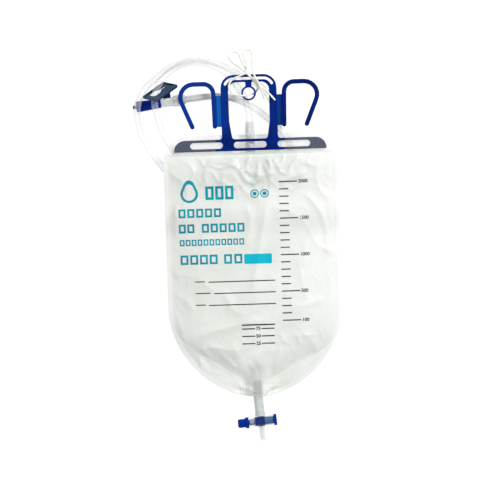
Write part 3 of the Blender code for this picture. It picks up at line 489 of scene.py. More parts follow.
# Cords: the routes of the CAD model, from the bag's top edge
tube = {
    "radius": 0.0037,
    "bore": 0.0026,
    "sides": 20,
    "step": 0.0022,
    "sleeveZ": 0.0095,
    "socketFrom": (-0.0807, 0.0399, 0.0063),
    "socketAngle": 187.0,
    "socketLength": 0.010,
    "socketStart": 0.001,
    "greyEnd": (0.0546, 0.078),
}
tubeRoute = [
    (0.0, -0.017, tube["sleeveZ"]), (0.0, -0.004, tube["sleeveZ"]), (0.0, 0.009, tube["sleeveZ"]),
    (0.0, 0.02, tube["sleeveZ"]), (-0.002, 0.031, 0.0104), (-0.006, 0.043, 0.0113),
    (-0.014, 0.056, 0.011), (-0.024, 0.068, 0.011), (-0.037, 0.0765, 0.0115),
    (-0.05, 0.081, 0.0119), (-0.068, 0.0815, 0.0119), (-0.084, 0.075, 0.0119),
    (-0.094, 0.066, 0.0137), (-0.1, 0.057, 0.0172), (-0.1037, 0.0487, 0.0186),
    (-0.105, 0.04, 0.0192), (-0.1042, 0.031, 0.018), (-0.102, 0.02, 0.0122),
    (-0.098, 0.007, 0.006), (-0.092, -0.005, 0.004), (-0.083, -0.02, 0.0037),
    (-0.071, -0.035, 0.0037), (-0.055, -0.049, 0.0037), (-0.036, -0.058, 0.0037),
    (-0.016, -0.059, 0.0037), (0.003, -0.054, 0.0037), (0.018, -0.043, 0.0037),
    (0.028, -0.027, 0.0044), (0.032, -0.011, 0.0084), (0.0325, 0.006, 0.0115),
    (0.03, 0.024, 0.0115), (0.024, 0.039, 0.0092), (0.015, 0.052, 0.0056),
    (0.004, 0.06, 0.0039), (-0.009, 0.067, 0.0037), (-0.024, 0.076, 0.0037),
    (-0.04, 0.082, 0.0037), (-0.059, 0.085, 0.0037), (-0.078, 0.082, 0.0037),
    (-0.093, 0.074, 0.0037), (-0.105, 0.0645, 0.0041), (-0.115, 0.055, 0.0066),
    (-0.121, 0.045, 0.0128), (-0.124, 0.034, 0.0168), (-0.125, 0.022, 0.0132),
    (-0.122, 0.006, 0.0058), (-0.114, -0.012, 0.0038), (-0.102, -0.029, 0.0037),
    (-0.089, -0.045, 0.0037), (-0.073, -0.06, 0.0037), (-0.055, -0.071, 0.0037),
    (-0.034, -0.076, 0.0037), (-0.012, -0.074, 0.0037), (0.008, -0.067, 0.0037),
    (0.025, -0.056, 0.0037), (0.038, -0.043, 0.0037), (0.0445, -0.028, 0.0037),
    (0.0445, -0.014, 0.0037), (0.039, -0.002, 0.0037), (0.031, 0.008, 0.0037),
    (0.022, 0.016, 0.0037), (0.013, 0.024, 0.0037), (0.003, 0.031, 0.0037),
    (-0.008, 0.037, 0.0037), (-0.022, 0.042, 0.0037), (-0.04, 0.044, 0.004),
    (-0.057, 0.0428, 0.0052),
]
string = {
    "radius": 0.0011,
    "sides": 18,
    "step": 0.0007,
    "lay": 0.0045,
    "lobes": 3,
    "lobeDepth": 0.12,
    "easing": 8,
}
stringRoute = [
    (0.0293, 0.0366, 0.0196), (0.0218, 0.0453, 0.0196), (0.012, 0.0545, 0.0197),
    (0.003, 0.0632, 0.0208), (-0.0054, 0.0712, 0.0192), (-0.0142, 0.0782, 0.0142),
    (-0.0205, 0.0847, 0.0086), (-0.02, 0.0888, 0.0054), (-0.0178, 0.0922, 0.0034),
    (-0.0142, 0.0934, 0.0026), (-0.0109, 0.0916, 0.003), (-0.0088, 0.088, 0.005),
    (-0.0056, 0.0794, 0.0128), (-0.0006, 0.0692, 0.019), (0.0052, 0.06, 0.0197),
    (0.0103, 0.0532, 0.0165), (0.0094, 0.0482, 0.0143), (0.0056, 0.045, 0.0138),
    (0.0002, 0.0437, 0.0166), (-0.005, 0.0428, 0.0194), (-0.0095, 0.0428, 0.0198),
    (-0.015, 0.044, 0.0196), (-0.0205, 0.0482, 0.0197), (-0.0218, 0.0545, 0.0199),
    (-0.0178, 0.061, 0.0204), (-0.009, 0.0648, 0.022), (-0.0036, 0.0674, 0.0228),
    (-0.001, 0.0714, 0.0212), (-0.0012, 0.0776, 0.0164), (-0.004, 0.085, 0.0095),
    (-0.0044, 0.09, 0.0052), (-0.0029, 0.0936, 0.0036), (0.0005, 0.095, 0.003),
    (0.0038, 0.0934, 0.0031), (0.0052, 0.0896, 0.0044), (0.0056, 0.0836, 0.0086),
    (0.0052, 0.075, 0.017), (0.0068, 0.065, 0.0232), (0.0118, 0.055, 0.0222),
    (0.015, 0.047, 0.0194), (0.0172, 0.039, 0.0164),
]


def fromTop(route):
    return [(x, bagTop + y, z) for x, y, z in route]


splineSteps = 12


def smoothLine(points, spacing):
    knots = [Vector(p) for p in points]
    knots = [2 * knots[0] - knots[1], *knots, 2 * knots[-1] - knots[-2]]
    fine = []
    for i in range(1, len(knots) - 2):
        p0, p1, p2, p3 = knots[i - 1 : i + 3]
        for k in range(splineSteps):
            t = k / splineSteps
            b = p2 - p0
            c = 2 * p0 - 5 * p1 + 4 * p2 - p3
            d = -p0 + 3 * p1 - 3 * p2 + p3
            fine.append((2 * p1 + b * t + c * t * t + d * t**3) / 2)
    fine.append(knots[-2])
    travelled = [0.0]
    for a, b in zip(fine, fine[1:]):
        travelled.append(travelled[-1] + (b - a).length)
    count = max(2, round(travelled[-1] / spacing))
    line = []
    k = 0
    for i in range(count + 1):
        wanted = travelled[-1] * i / count
        while k < len(fine) - 2 and travelled[k + 1] < wanted:
            k += 1
        share = (wanted - travelled[k]) / (travelled[k + 1] - travelled[k])
        line.append(fine[k].lerp(fine[k + 1], share))
    return line


def eased(line, times):  # evens out the bends, with both ends kept
    for _ in range(times):
        middles = [(a + 2 * b + c) / 4 for a, b, c in zip(line, line[1:], line[2:])]
        line = [line[0], *middles, line[-1]]
    return line


def carriedFrames(line):  # a side vector at each point that turns as little as it can
    side = Vector((0, 0, 1))
    frames = []
    for i, point in enumerate(line):
        along = (line[min(i + 1, len(line) - 1)] - line[max(i - 1, 0)]).normalized()
        side = (side - along * side.dot(along)).normalized()
        frames.append((point, along, side, along.cross(side)))
    return frames


def bridge(bm, first, second):  # quads between two closed rings
    for k in range(len(first)):
        n = (k + 1) % len(first)
        bm.faces.new([first[k], first[n], second[n], second[k]])


def tubeWall(bm, frames, radius, sides, inward=False):
    rings = []
    for i, (point, _, side, other) in enumerate(frames):
        ring = []
        for k in range(sides):
            angle = math.tau * k / sides
            reach = radius(i, angle) if callable(radius) else radius
            outward = side * math.cos(angle) + other * math.sin(angle)
            ring.append(bm.verts.new(point + outward * reach))
        rings.append(ring)
    for a, b in zip(rings, rings[1:]):
        bridge(bm, *((a, b) if inward else (b, a)))
    return rings


def openTube(bm, line, radius, bore, sides):  # a pipe with both ends open
    frames = carriedFrames(line)
    outer = tubeWall(bm, frames, radius, sides)
    inner = tubeWall(bm, frames, bore, sides, True)
    for end in (0, -1):
        bridge(bm, outer[end], inner[end])
    bmesh.ops.recalc_face_normals(bm, faces=bm.faces)
    return outer, inner


def lineLength(line):
    return sum((b - a).length for a, b in zip(line, line[1:]))


socketCentre = Vector(fromTop([tube["socketFrom"]])[0])
socketTurn = math.radians(tube["socketAngle"])
socketAlong = Vector((math.cos(socketTurn), math.sin(socketTurn), 0))
backs = (tube["socketLength"], tube["socketStart"])
tubeEnd = [tuple(socketCentre - socketAlong * back) for back in backs]
tubeLine = smoothLine(fromTop(tubeRoute) + tubeEnd, tube["step"])
tubeMesh = bmesh.new()
greyEnd = tubeMesh.verts.layers.float.new("greyEnd")
for rings in openTube(tubeMesh, tubeLine, tube["radius"], tube["bore"], tube["sides"]):
    for k, ring in enumerate(rings):
        fromEnd = (len(rings) - 1 - k) * tube["step"]
        for vert in ring:
            vert[greyEnd] = 1 - smooth(*tube["greyEnd"], fromEnd)
coiledTube = addMesh("coiledTube", tubeMesh, clears["tubeClear"], "bag")
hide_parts("drainage_tube")

stringLine = eased(smoothLine(fromTop(stringRoute), string["step"]), string["easing"])


def strandRadius(i, angle):
    turn = math.tau * i * string["step"] / string["lay"]
    lobe = abs(math.cos(string["lobes"] * (angle - turn) / 2))
    return string["radius"] * (1 - string["lobeDepth"] + string["lobeDepth"] * lobe)


stringMesh = bmesh.new()
stringRings = tubeWall(stringMesh, carriedFrames(stringLine), strandRadius, string["sides"])
stringMesh.faces.new(stringRings[0])
stringMesh.faces.new(stringRings[-1][::-1])
bmesh.ops.recalc_face_normals(stringMesh, faces=stringMesh.faces)
hangingString = addMesh("hangingString", stringMesh, cotton, "bag")
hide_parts("tie_cord")

lineLength(tubeLine)
lineLength(stringLine)
print("cords laid")

# Rigid pieces that keep their CAD shape
sealBlack = sealRubber()
rigid = {
    "hanger_frame": blues["hangerBlue"],
    "hook_left": blues["hangerBlue"],
    "hook_right": blues["hangerBlue"],
    "slide_clamp": blues["clampBlue"],
    "connector_cap": blues["capBlue"],
    "sampling_port": blues["portBlue"],
    "catheter_connector": clears["hardClear"],
    "valve_body": valveClear(),
    "valve_stem": blues["stemBlue"],
    "stem_seal_left": sealBlack,
    "stem_seal_right": sealBlack,
    "inlet_sleeve": clears["sleeveClear"],
    "outlet_tube": clears["outletClear"],
    "anti_reflux_valve": clears["sleeveClear"],
}
for name, material in rigid.items():
    dressNode(name, material)

# The skin of the living hinges
hinge = {"x": 0.0337, "z": 0.0167, "half": 0.0006, "skin": 0.00012, "low": 0.3018, "length": 0.0345}
hingeMiddle = ownY(hinge["low"]) + hinge["length"] / 2
for side, name in ((-1, "hingeSkinLeft"), (1, "hingeSkinRight")):
    skin = bmesh.new()
    bmesh.ops.create_grid(skin, x_segments=2, y_segments=24, size=0.5)
    bmesh.ops.scale(skin, verts=skin.verts, vec=(2 * hinge["half"], hinge["length"], 1))
    place = (side * hinge["x"], hingeMiddle, hinge["z"])
    bmesh.ops.translate(skin, verts=skin.verts, vec=place)
    bmesh.ops.solidify(skin, geom=skin.faces, thickness=hinge["skin"])
    addMesh(name, skin, blues["hangerBlue"], "bag", False)

# The clear sleeve on the stem's neck
neck = {"from": -0.0130, "to": -0.0080, "radius": 0.0036, "bore": 0.0029, "sides": 36, "rings": 9}
neckStep = (neck["to"] - neck["from"]) / (neck["rings"] - 1)
neckLine = []
for k in range(neck["rings"]):
    neckLine.append(Vector(valveCentre) + Vector(valveAlong) * (neck["from"] + neckStep * k))
neckMesh = bmesh.new()
openTube(neckMesh, neckLine, neck["radius"], neck["bore"], neck["sides"])
addMesh("stemSleeve", neckMesh, clears["neckClear"], "stem")

# Film bag
film = {
    "cell": 0.00115,
    "passes": 60,
    "backCell": 0.0028,
    "backPasses": 4,
    "firstRow": 0.0004,
    "fineBelow": 0.012,
    "fineShare": 0.45,
    "notchLap": 0.0012,
    "slopeStep": 0.002,
    "weldInset": 0.0030,
    "weldWidth": 0.0011,
    "outerWeldInset": 0.0012,
    "outerWeldShare": 0.7,
    "weldCore": 0.35,
    "weldRise": 0.00018,
    "barWeldBelow": 0.0055,
}


def halfWidthAt(y):
    if y < bag["funnelHeight"]:
        share = 1 - max(y, 0.0) / bag["funnelHeight"]
        power = bag["funnelRoundness"]
        return bag["halfWidth"] * max(1 - share**power, 0.0) ** (1 / power)
    corner = y - (bag["length"] - bag["cornerRadius"])
    if corner > 0:
        radius = bag["cornerRadius"]
        return bag["halfWidth"] - radius + math.sqrt(max(radius**2 - corner**2, 0.0))
    return bag["halfWidth"]


def treeOf(obj):
    points = [v.co.copy() for v in obj.data.vertices]
    return BVHTree.FromPolygons(points, [tuple(p.vertices) for p in obj.data.polygons])


frontTree = treeOf(nodes["front_sheet"])
backTree = treeOf(nodes["back_sheet"])
midHeight = 0.008
farOff = 0.1


def heightOn(tree, x, y, fromAbove):
    start = Vector((x, y, farOff if fromAbove else -farOff))
    hit = tree.ray_cast(start, Vector((0, 0, -1 if fromAbove else 1)))
    if hit[0]:
        return hit[0].z
    return tree.find_nearest(Vector((x, y, midHeight)))[0].z


# Creases of the front film: a line in the bag's own x and y, half width before it is widened, and
# height, in mm
creases = [
    ([(-51, 262), (-33, 263), (-11, 257)], 4.5, 2.3),
    ([(-13, 256), (-8, 246), (-3, 236)], 4.0, 2.3),
    ([(-3, 236), (9, 242), (16, 249)], 4.0, 2.0),
    ([(-18, 257), (9, 247), (31, 249)], 3.5, 1.8),
    ([(24, 265), (33, 252)], 3.5, 2.2),
    ([(15, 260), (18, 248)], 3.0, 1.7),
    ([(26, 237), (49, 244), (64, 251)], 4.0, 2.0),
    ([(6, 254), (8, 239)], 3.0, 1.7),
    ([(-60, 258), (-82, 246)], 4.5, 1.0),
    ([(-44, 252), (-58, 236)], 4.5, 1.0),
    ([(-27, 252), (-36, 238)], 4.0, 1.1),
    ([(-20, 240), (-14, 222)], 4.0, 1.0),
    ([(52, 262), (76, 254)], 4.0, 0.9),
    ([(17, 217), (11, 187), (6, 158), (-4, 113)], 6.5, 2.3),
    ([(-8, 219), (-2, 198), (-8, 167)], 5.5, 1.4),
    ([(-27, 164), (-37, 151), (-46, 140)], 5.0, 0.9),
    ([(-75, 66), (-46, 75), (-14, 82), (19, 87)], 6.5, 2.0),
    ([(-94, 118), (-78, 111), (-66, 95)], 5.5, 1.1),
    ([(44, 98), (62, 102), (78, 108)], 5.5, 1.1),
    ([(49, 230), (66, 219), (77, 203), (83, 180), (82, 160), (73, 138)], 4.5, 1.4),
    ([(88, 205), (89, 182), (82, 156)], 3.5, 0.7),
    ([(-12, 38), (-9, 43), (12, 51), (38, 51)], 5.5, 0.9),
    ([(-11, 40), (-5, 32), (-1, 24)], 3.5, 0.8),
    ([(-62, 57), (-51, 43)], 4.0, 0.7),
    ([(-46, 59), (-34, 40)], 4.0, 0.7),
    ([(-28, 65), (-20, 42)], 4.0, 0.7),
    ([(-36, 46), (-22, 30)], 3.5, 0.9),
    ([(-86, 221), (-84, 201), (-88, 179)], 4.0, 1.0),
    ([(26, 72), (34, 56)], 3.5, 0.9),
    ([(44, 69), (50, 56)], 3.5, 0.9),
    ([(43, 66), (70, 68)], 4.0, 0.8),
    ([(-78, 125), (-64, 138), (-59, 151)], 5.5, 0.9),
    ([(-38, 123), (-27, 107), (-32, 92)], 5.0, 0.9),
    ([(40, 130), (34, 108)], 5.0, 0.8),
    ([(60, 176), (54, 140)], 6.0, 0.8),
]


def lineReach(line, x, y):  # how far from a line a point lies, and how far along it, from 0 to 1
    point = Vector((x, y))
    nearest = (1e9, 0.0)
    total = sum((Vector(b) - Vector(a)).length for a, b in zip(line, line[1:]))
    before = 0.0
    for start, end in zip(line, line[1:]):
        a = Vector(start)
        along = Vector(end) - a
        share = min(max((point - a).dot(along) / along.length_squared, 0.0), 1.0)
        away = (point - a - along * share).length
        nearest = min(nearest, (away, (before + along.length * share) / total))
        before += along.length
    return nearest


creaseForm = {"widen": 1.35, "fall": 1.35, "ends": 0.25}


def creaseHeight(x, y):
    total = 0.0
    x, y = x * 1000, y * 1000
    for route, narrow, height in creases:
        halfWidth = narrow * creaseForm["widen"]
        if not min(p[0] for p in route) - halfWidth < x < max(p[0] for p in route) + halfWidth:
            continue
        if not min(p[1] for p in route) - halfWidth < y < max(p[1] for p in route) + halfWidth:
            continue
        away, share = lineReach(route, x, y)
        if away < halfWidth:
            ends = smooth(0.0, creaseForm["ends"], share)
            ends *= 1 - smooth(1 - creaseForm["ends"], 1.0, share)
            total += height * ends * (1 - away / halfWidth) ** creaseForm["fall"]
    return total / 1000


def ridged(x, y, scale, seed):
    value = noise.noise(Vector((x * scale, y * scale, seed)))
    return 1 - abs(value) * 2


# Ridges between the creases: how strong they are where, and each size's height, scale and seed
crumpled = {
    "top": (0.200, 0.262),
    "topSides": (0.050, 0.085),
    "edge": (0.006, 0.030),
    "funnel": (0.060, 0.120),
    "least": 0.45,
    "topMore": 0.9,
    "edgeMore": 0.35,
    "funnelMore": 0.35,
    "bend": (0.012, 18, 4.2),
    "broad": (0.0020, 24, 1.7),
    "medium": (0.0010, 55, 8.3),
    "small": (0.00014, 120, 3.1),
}


def crumple(x, y):  # x and y in the bag's own frame
    nearTop = smooth(*crumpled["top"], y) * (1 - smooth(*crumpled["topSides"], abs(x)))
    nearEdge = 1 - smooth(*crumpled["edge"], halfWidthAt(y) - abs(x))
    funnel = 1 - smooth(*crumpled["funnel"], y)
    strength = crumpled["least"] + crumpled["topMore"] * nearTop
    strength += crumpled["edgeMore"] * nearEdge + crumpled["funnelMore"] * funnel
    reach, scale, seed = crumpled["bend"]
    bend = reach * noise.noise(Vector((x * scale, y * scale, seed)))
    height, scale, seed = crumpled["broad"]
    rise = height * ridged(x + bend, y * 0.8, scale, seed) ** 3
    height, scale, seed = crumpled["medium"]
    rise += height * ridged(x * 1.1, y + bend, scale, seed) ** 3 * (0.4 + nearTop)
    height, scale, seed = crumpled["small"]
    rise += height * ridged(x, y, scale, seed) ** 2
    return strength * rise


def edgeDistance(x, y):  # about how far inside the bag's outline a point lies
    best = halfWidthAt(y) - abs(x)
    if y < bag["funnelHeight"]:
        step = film["slopeStep"]
        slope = (halfWidthAt(y + step) - halfWidthAt(max(y - step, 0.0))) / (2 * step)
        best = best / math.sqrt(1 + slope * slope)
    return min(best, bag["length"] - y)


funnelWelds = {
    "left": [(-88, 66), (-69, 52), (-40, 33), (-17, 18)],
    "right": [(88, 60), (81, 52), (42, 32), (13, 17)],
    "width": 0.0011,
    "rise": 0.0002,
    "top": 0.08,
}


def funnelDistance(x, y):
    weld = funnelWelds["left" if x < 0 else "right"]
    return lineReach(weld, x * 1000, y * 1000)[0] / 1000 if y < funnelWelds["top"] else 1.0


def stripe(distance, centre, width):  # 1 on a welded line, 0 beside it
    return 1 - smooth(width * film["weldCore"], width, abs(distance - centre))


gathers = {
    "pitch": 0.0030,
    "height": 0.00090,
    "left": (-0.0210, -0.0062),
    "right": (0.0062, 0.0195),
    "top": (0.009, 0.015),
    "fade": 0.002,
}


def gathered(x, y):  # pleats that run into the bottom edge beside the outlet
    start, end = gathers["left"] if x < 0 else gathers["right"]
    across = smooth(start, start + gathers["fade"], x) * (1 - smooth(end - gathers["fade"], end, x))
    upward = 1 - smooth(*gathers["top"], y)
    return gathers["height"] * across * upward * (0.5 + 0.5 * math.cos(math.tau * x / gathers["pitch"]))


# Where the film's marks rise and fall, in metres; the paler right side and funnel foot are painted
# light, and the darker top is painted shade
marks = {
    "veilBelowBar": (-0.004, -0.0005),
    "outletSides": (0.004, 0.008),
    "outletTop": (0.014, 0.022),
    "outletShare": 0.35,
    "edgeReach": (0.009, 0.008),
    "edgeTilt": (-0.02, 0.06),
    "edgeFade": (0.45, 1.3),
    "edgeFoot": (0.045, 0.110),
    "edgeLeast": 0.15,
    "paleLeast": 0.10,
    "paintedLightRight": (0.0, 0.07),
    "paintedLightFoot": (0.085, 0.135),
    "paleShare": 0.50,
    "darkTop": (0.215, 0.245),
    "darkSides": (0.045, 0.075),
    "topPaintedShadeShare": 0.85,
    "footFrom": (-0.055, -0.035),
    "footTo": (-0.014, -0.006),
    "footTop": (0.030, 0.050),
    "funnelPaintedLightShare": 0.8,
    "port": (0.0255, 1.1, 0.8),
    "portFade": (0.0050, 0.0150),
    "portShare": 0.75,
    "tubeSides": (0.0035, 0.0060),
    "tubeTop": (0.018, 0.022),
    "shadeTop": (0.222, 0.246),
    "shadeSides": (0.045, 0.080),
    "shadeShare": 0.22,
}


def rising(mark, value):
    return smooth(*marks[mark], value)


def falling(mark, value):
    return 1 - smooth(*marks[mark], value)


def filmMarks(x, y):  # how much the film hides, how welded, how pale with painted light and shade, and how close it lies on what is under it, with painted shade below the bar
    inside = edgeDistance(x, y)
    veil = falling("veilBelowBar", y - bag["barUnder"])
    veil *= 1 - marks["outletShare"] * falling("outletSides", abs(x)) * falling("outletTop", y)
    seams = stripe(inside, film["weldInset"], film["weldWidth"])
    seams += film["outerWeldShare"] * stripe(inside, film["outerWeldInset"], film["weldWidth"])
    seams += stripe(funnelDistance(x, y), 0.0, funnelWelds["width"])
    if inside > film["weldInset"]:
        seams += stripe(y, bag["barUnder"] - film["barWeldBelow"], film["weldWidth"])
    reach = marks["edgeReach"][0] + marks["edgeReach"][1] * rising("edgeTilt", x)
    start, end = marks["edgeFade"]
    least = marks["edgeLeast"]
    edge = 1 - smooth(reach * start, reach * end, inside)
    edge *= least + (1 - least) * rising("edgeFoot", y)
    # painted light: the film is paler on its right side, above the funnel
    right = marks["paleShare"] * rising("paintedLightRight", x) * rising("paintedLightFoot", y)
    pale = max(edge, marks["paleLeast"] + right)
    # painted shade: the top middle below the bar is less pale
    pale *= 1 - marks["topPaintedShadeShare"] * rising("darkTop", y) * falling("darkSides", abs(x))
    # painted light: the funnel's left slope beside the outlet is paler
    funnelPaintedLight = rising("footFrom", x) * falling("footTo", x) * falling("footTop", y)
    pale += marks["funnelPaintedLightShare"] * funnelPaintedLight
    portY, wide, tall = marks["port"]
    fromPort = math.hypot(x * wide, (y - portY) * tall)
    clingAndShade = marks["portShare"] * falling("portFade", fromPort)
    clingAndShade = max(clingAndShade, falling("tubeSides", abs(x)) * falling("tubeTop", y))
    # painted shade: the top middle of the film below the bar is greyed
    clingAndShade = max(clingAndShade, marks["shadeShare"] * rising("shadeTop", y) * falling("shadeSides", abs(x)))
    return veil, min(seams, 1.0), min(pale, 1.0) * (1 - clingAndShade), clingAndShade


settling = {"from": 0.010, "to": 0.005, "share": 0.5}


def settled(base, rows, passes):  # evens out the CAD facets below the bar
    start, end = bag["barUnder"] - settling["from"], bag["barUnder"] - settling["to"]
    free = np.array([1 - smooth(start, end, y) for y in rows])
    free = free[1:-1, None] * np.ones((1, base.shape[1] - 2))
    for _ in range(passes):
        around = base[:-2, 1:-1] + base[2:, 1:-1] + base[1:-1, :-2] + base[1:-1, 2:]
        base[1:-1, 1:-1] += free * (around / 4 - base[1:-1, 1:-1]) * settling["share"]
    return base


def filmGrid(cell, notched, tree, relief, passes):
    rows = []
    y = film["firstRow"]
    while y < bag["length"]:
        rows.append(y)
        y += cell * (film["fineShare"] if y < film["fineBelow"] else 1.0)
    rows.append(bag["length"])
    columns = round(2 * bag["halfWidth"] / cell)
    columns += columns % 2
    places = [[(halfWidthAt(y) * (2 * j / columns - 1), y) for j in range(columns + 1)] for y in rows]
    base = np.array([[heightOn(tree, x, ownY(y), notched) for x, y in row] for row in places])
    base = settled(base, rows, passes)
    bm = bmesh.new()
    layers = [bm.verts.layers.float.new(name) for name in filmLayers]
    grid = []
    for i, row in enumerate(places):
        verts = []
        for j, (x, y) in enumerate(row):
            vert = bm.verts.new((x, ownY(y), base[i, j] + relief(x, y)))
            for layer, amount in zip(layers, filmMarks(x, y)):
                vert[layer] = amount
            verts.append(vert)
        grid.append(verts)
    for i in range(len(rows) - 1):
        overBar = notched and rows[i] >= bag["barUnder"] - film["notchLap"]
        for j in range(columns):
            corners = [grid[i][j], grid[i][j + 1], grid[i + 1][j + 1], grid[i + 1][j]]
            middle = sum(abs(v.co.x) for v in corners) / 4
            if overBar and middle < bag["notchHalfWidth"]:
                continue
            bm.faces.new(corners)
    loose = [v for v in bm.verts if not v.link_faces]
    bmesh.ops.delete(bm, geom=loose, context="VERTS")
    return bm


loosened = {"edge": (0.003, 0.012), "top": (0.012, 0.003), "funnel": 0.006, "held": 0.3}


def frontRelief(x, y):
    inside = edgeDistance(x, y)
    start, end = [bag["barUnder"] - below for below in loosened["top"]]
    free = smooth(*loosened["edge"], inside) * (1 - smooth(start, end, y))
    inFunnel = smooth(0.0, loosened["funnel"], funnelDistance(x, y))
    free *= loosened["held"] + (1 - loosened["held"]) * inFunnel
    rise = (creaseHeight(x, y) + crumple(x, y)) * free
    rise += film["weldRise"] * stripe(inside, film["weldInset"], film["weldWidth"])
    rise += funnelWelds["rise"] * stripe(funnelDistance(x, y), 0.0, funnelWelds["width"])
    return rise + gathered(x, y)


def noRelief(x, y):
    return 0.0


frontMesh = filmGrid(film["cell"], True, frontTree, frontRelief, film["passes"])
frontFilm = addMesh("frontFilm", frontMesh, frontFilmFinish, "bag")
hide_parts("front_sheet")
print("front film", len(frontFilm.data.polygons))
backMesh = filmGrid(film["backCell"], False, backTree, noRelief, film["backPasses"])
backFilm = addMesh("backFilm", backMesh, backFilmFinish, "bag")
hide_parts("back_sheet")
print("back film", len(backFilm.data.polygons))


def flatArea(notched):
    strips = 400
    depth = bag["length"] / strips
    area = sum(2 * halfWidthAt((k + 0.5) * depth) * depth for k in range(strips))
    notch = 2 * bag["notchHalfWidth"] * (bag["length"] - bag["barUnder"])
    return area - (notch if notched else 0.0)


flatArea(True)
flatArea(False)

# Print on the front film, in mm on the bag's own x and y
printTree = treeOf(frontFilm)
printed = {
    "lift": 0.00015,
    "cell": 1.0,
    "bold": 0.14,
    "thinnest": 0.05,
    "capShare": 0.70,
    "tipPower": 6,
}


def laidOn(x, y):  # a point on the film, a hair above it
    hit = printTree.ray_cast(Vector((x / 1000, ownY(y / 1000), farOff)), Vector((0, 0, -1)))
    z = hit[0].z if hit[0] else 0.0
    return Vector((x / 1000, ownY(y / 1000), z + printed["lift"]))


def printBar(bm, x0, x1, y, height, rounding=0.0):
    count = max(1, math.ceil((x1 - x0) / printed["cell"]))
    layers = max(1, math.ceil(height / printed["cell"]))
    rows = []
    for i in range(count + 1):
        x = x0 + (x1 - x0) * i / count
        half = height / 2
        if rounding:
            reach = min(x - x0, x1 - x)
            if reach < rounding:
                half = height / 2 - rounding + math.sqrt(max(rounding**2 - (rounding - reach) ** 2, 0))
                half = max(half, printed["thinnest"])
        heights = [y + half * (2 * k / layers - 1) for k in range(layers + 1)]
        rows.append([bm.verts.new(laidOn(x, up)) for up in heights])
    for a, b in zip(rows, rows[1:]):
        for k in range(layers):
            bm.faces.new([a[k], b[k], b[k + 1], a[k + 1]])


def printFrame(bm, x0, x1, y, height, stroke):  # a plain upright oblong, open in the middle
    half = (height - stroke) / 2
    printBar(bm, x0, x1, y + half, stroke)
    printBar(bm, x0, x1, y - half, stroke)
    for left in (x0, x1 - stroke):
        printBar(bm, left, left + stroke, y, height - 2 * stroke)


def printRings(bm, centre, steps, edges):  # each edge has a radius and a height of its drawn-out top
    rings = []
    for radius, tip in edges:
        ring = []
        for i in range(steps):
            angle = math.tau * i / steps
            reach = radius + (tip - radius) * max(math.sin(angle), 0.0) ** printed["tipPower"]
            x = centre[0] + reach * math.cos(angle)
            y = centre[1] + reach * math.sin(angle)
            ring.append(bm.verts.new(laidOn(x, y)))
        rings.append(ring)
    for outside, inside in zip(rings, rings[1:]):
        bridge(bm, outside, inside)


def printNumber(bm, text, x, y, height, centred=False):
    curve = bpy.data.curves.new("number", "FONT")
    curve.body = text
    curve.size = height / printed["capShare"]
    curve.offset = printed["bold"]
    curve.align_x = "CENTER" if centred else "LEFT"
    curve.align_y = "CENTER"
    curve.resolution_u = 3
    holder = bpy.data.objects.new("number", curve)
    bpy.context.scene.collection.objects.link(holder)
    bpy.context.view_layer.update()
    outline = holder.evaluated_get(bpy.context.evaluated_depsgraph_get()).to_mesh()
    verts = [bm.verts.new(laidOn(x + v.co.x, y + v.co.y)) for v in outline.vertices]
    for polygon in outline.polygons:
        bm.faces.new([verts[k] for k in polygon.vertices])
    bpy.data.objects.remove(holder)
    bpy.data.curves.remove(curve)


scale = {
    "left": 30.4,
    "first": 84.3,
    "step": 8.137,
    "longLine": 20.4,
    "shortLine": 10.4,
    "stroke": 1.25,
    "numberGap": 1.2,
    "numberHeight": 3.7,
    "lines": 20,
    "numbers": {0: "100", 4: "500", 9: "1000", 14: "1500", 19: "2000"},
}
smallScale = {
    "left": -15.6,
    "right": 20.6,
    "first": 59.3,
    "step": 8.25,
    "middle": 2.6,
    "gap": 3.6,
    "numbers": ["25", "50", "75"],
}
note = {"left": -15.6, "right": 21.6, "y": 80.2, "height": 1.5}
writing = {"right": 23.2, "lines": [(-51.3, 129.3), (-45.4, 116.4), (-51.5, 103.3)], "stroke": 1.15}
labels = {"left": -66.6, "ends": [-55.1, -48.9, -54.7], "height": 1.1, "up": 0.6, "rounding": 0.7}

darkPrint = bmesh.new()
for k in range(scale["lines"]):
    y = scale["first"] + scale["step"] * k
    length = scale["longLine"] if k in scale["numbers"] else scale["shortLine"]
    printBar(darkPrint, scale["left"], scale["left"] + length, y, scale["stroke"])
    if k in scale["numbers"]:
        start = scale["left"] + length + scale["numberGap"]
        printNumber(darkPrint, scale["numbers"][k], start, y, scale["numberHeight"])
for k, text in enumerate(smallScale["numbers"]):
    y = smallScale["first"] + smallScale["step"] * k
    gapFrom, gapTo = smallScale["middle"] - smallScale["gap"], smallScale["middle"] + smallScale["gap"]
    printBar(darkPrint, smallScale["left"], gapFrom, y, scale["stroke"])
    printBar(darkPrint, gapTo, smallScale["right"], y, scale["stroke"])
    printNumber(darkPrint, text, smallScale["middle"], y, scale["numberHeight"], True)
for (left, y), labelEnd in zip(writing["lines"], labels["ends"]):
    printBar(darkPrint, left, writing["right"], y, writing["stroke"])
    labelY = y + labels["up"]
    printBar(darkPrint, labels["left"], labelEnd, labelY, labels["height"], labels["rounding"])
printBar(darkPrint, note["left"], note["right"], note["y"], note["height"])
addMesh("scalePrint", darkPrint, darkInk, "bag", False)

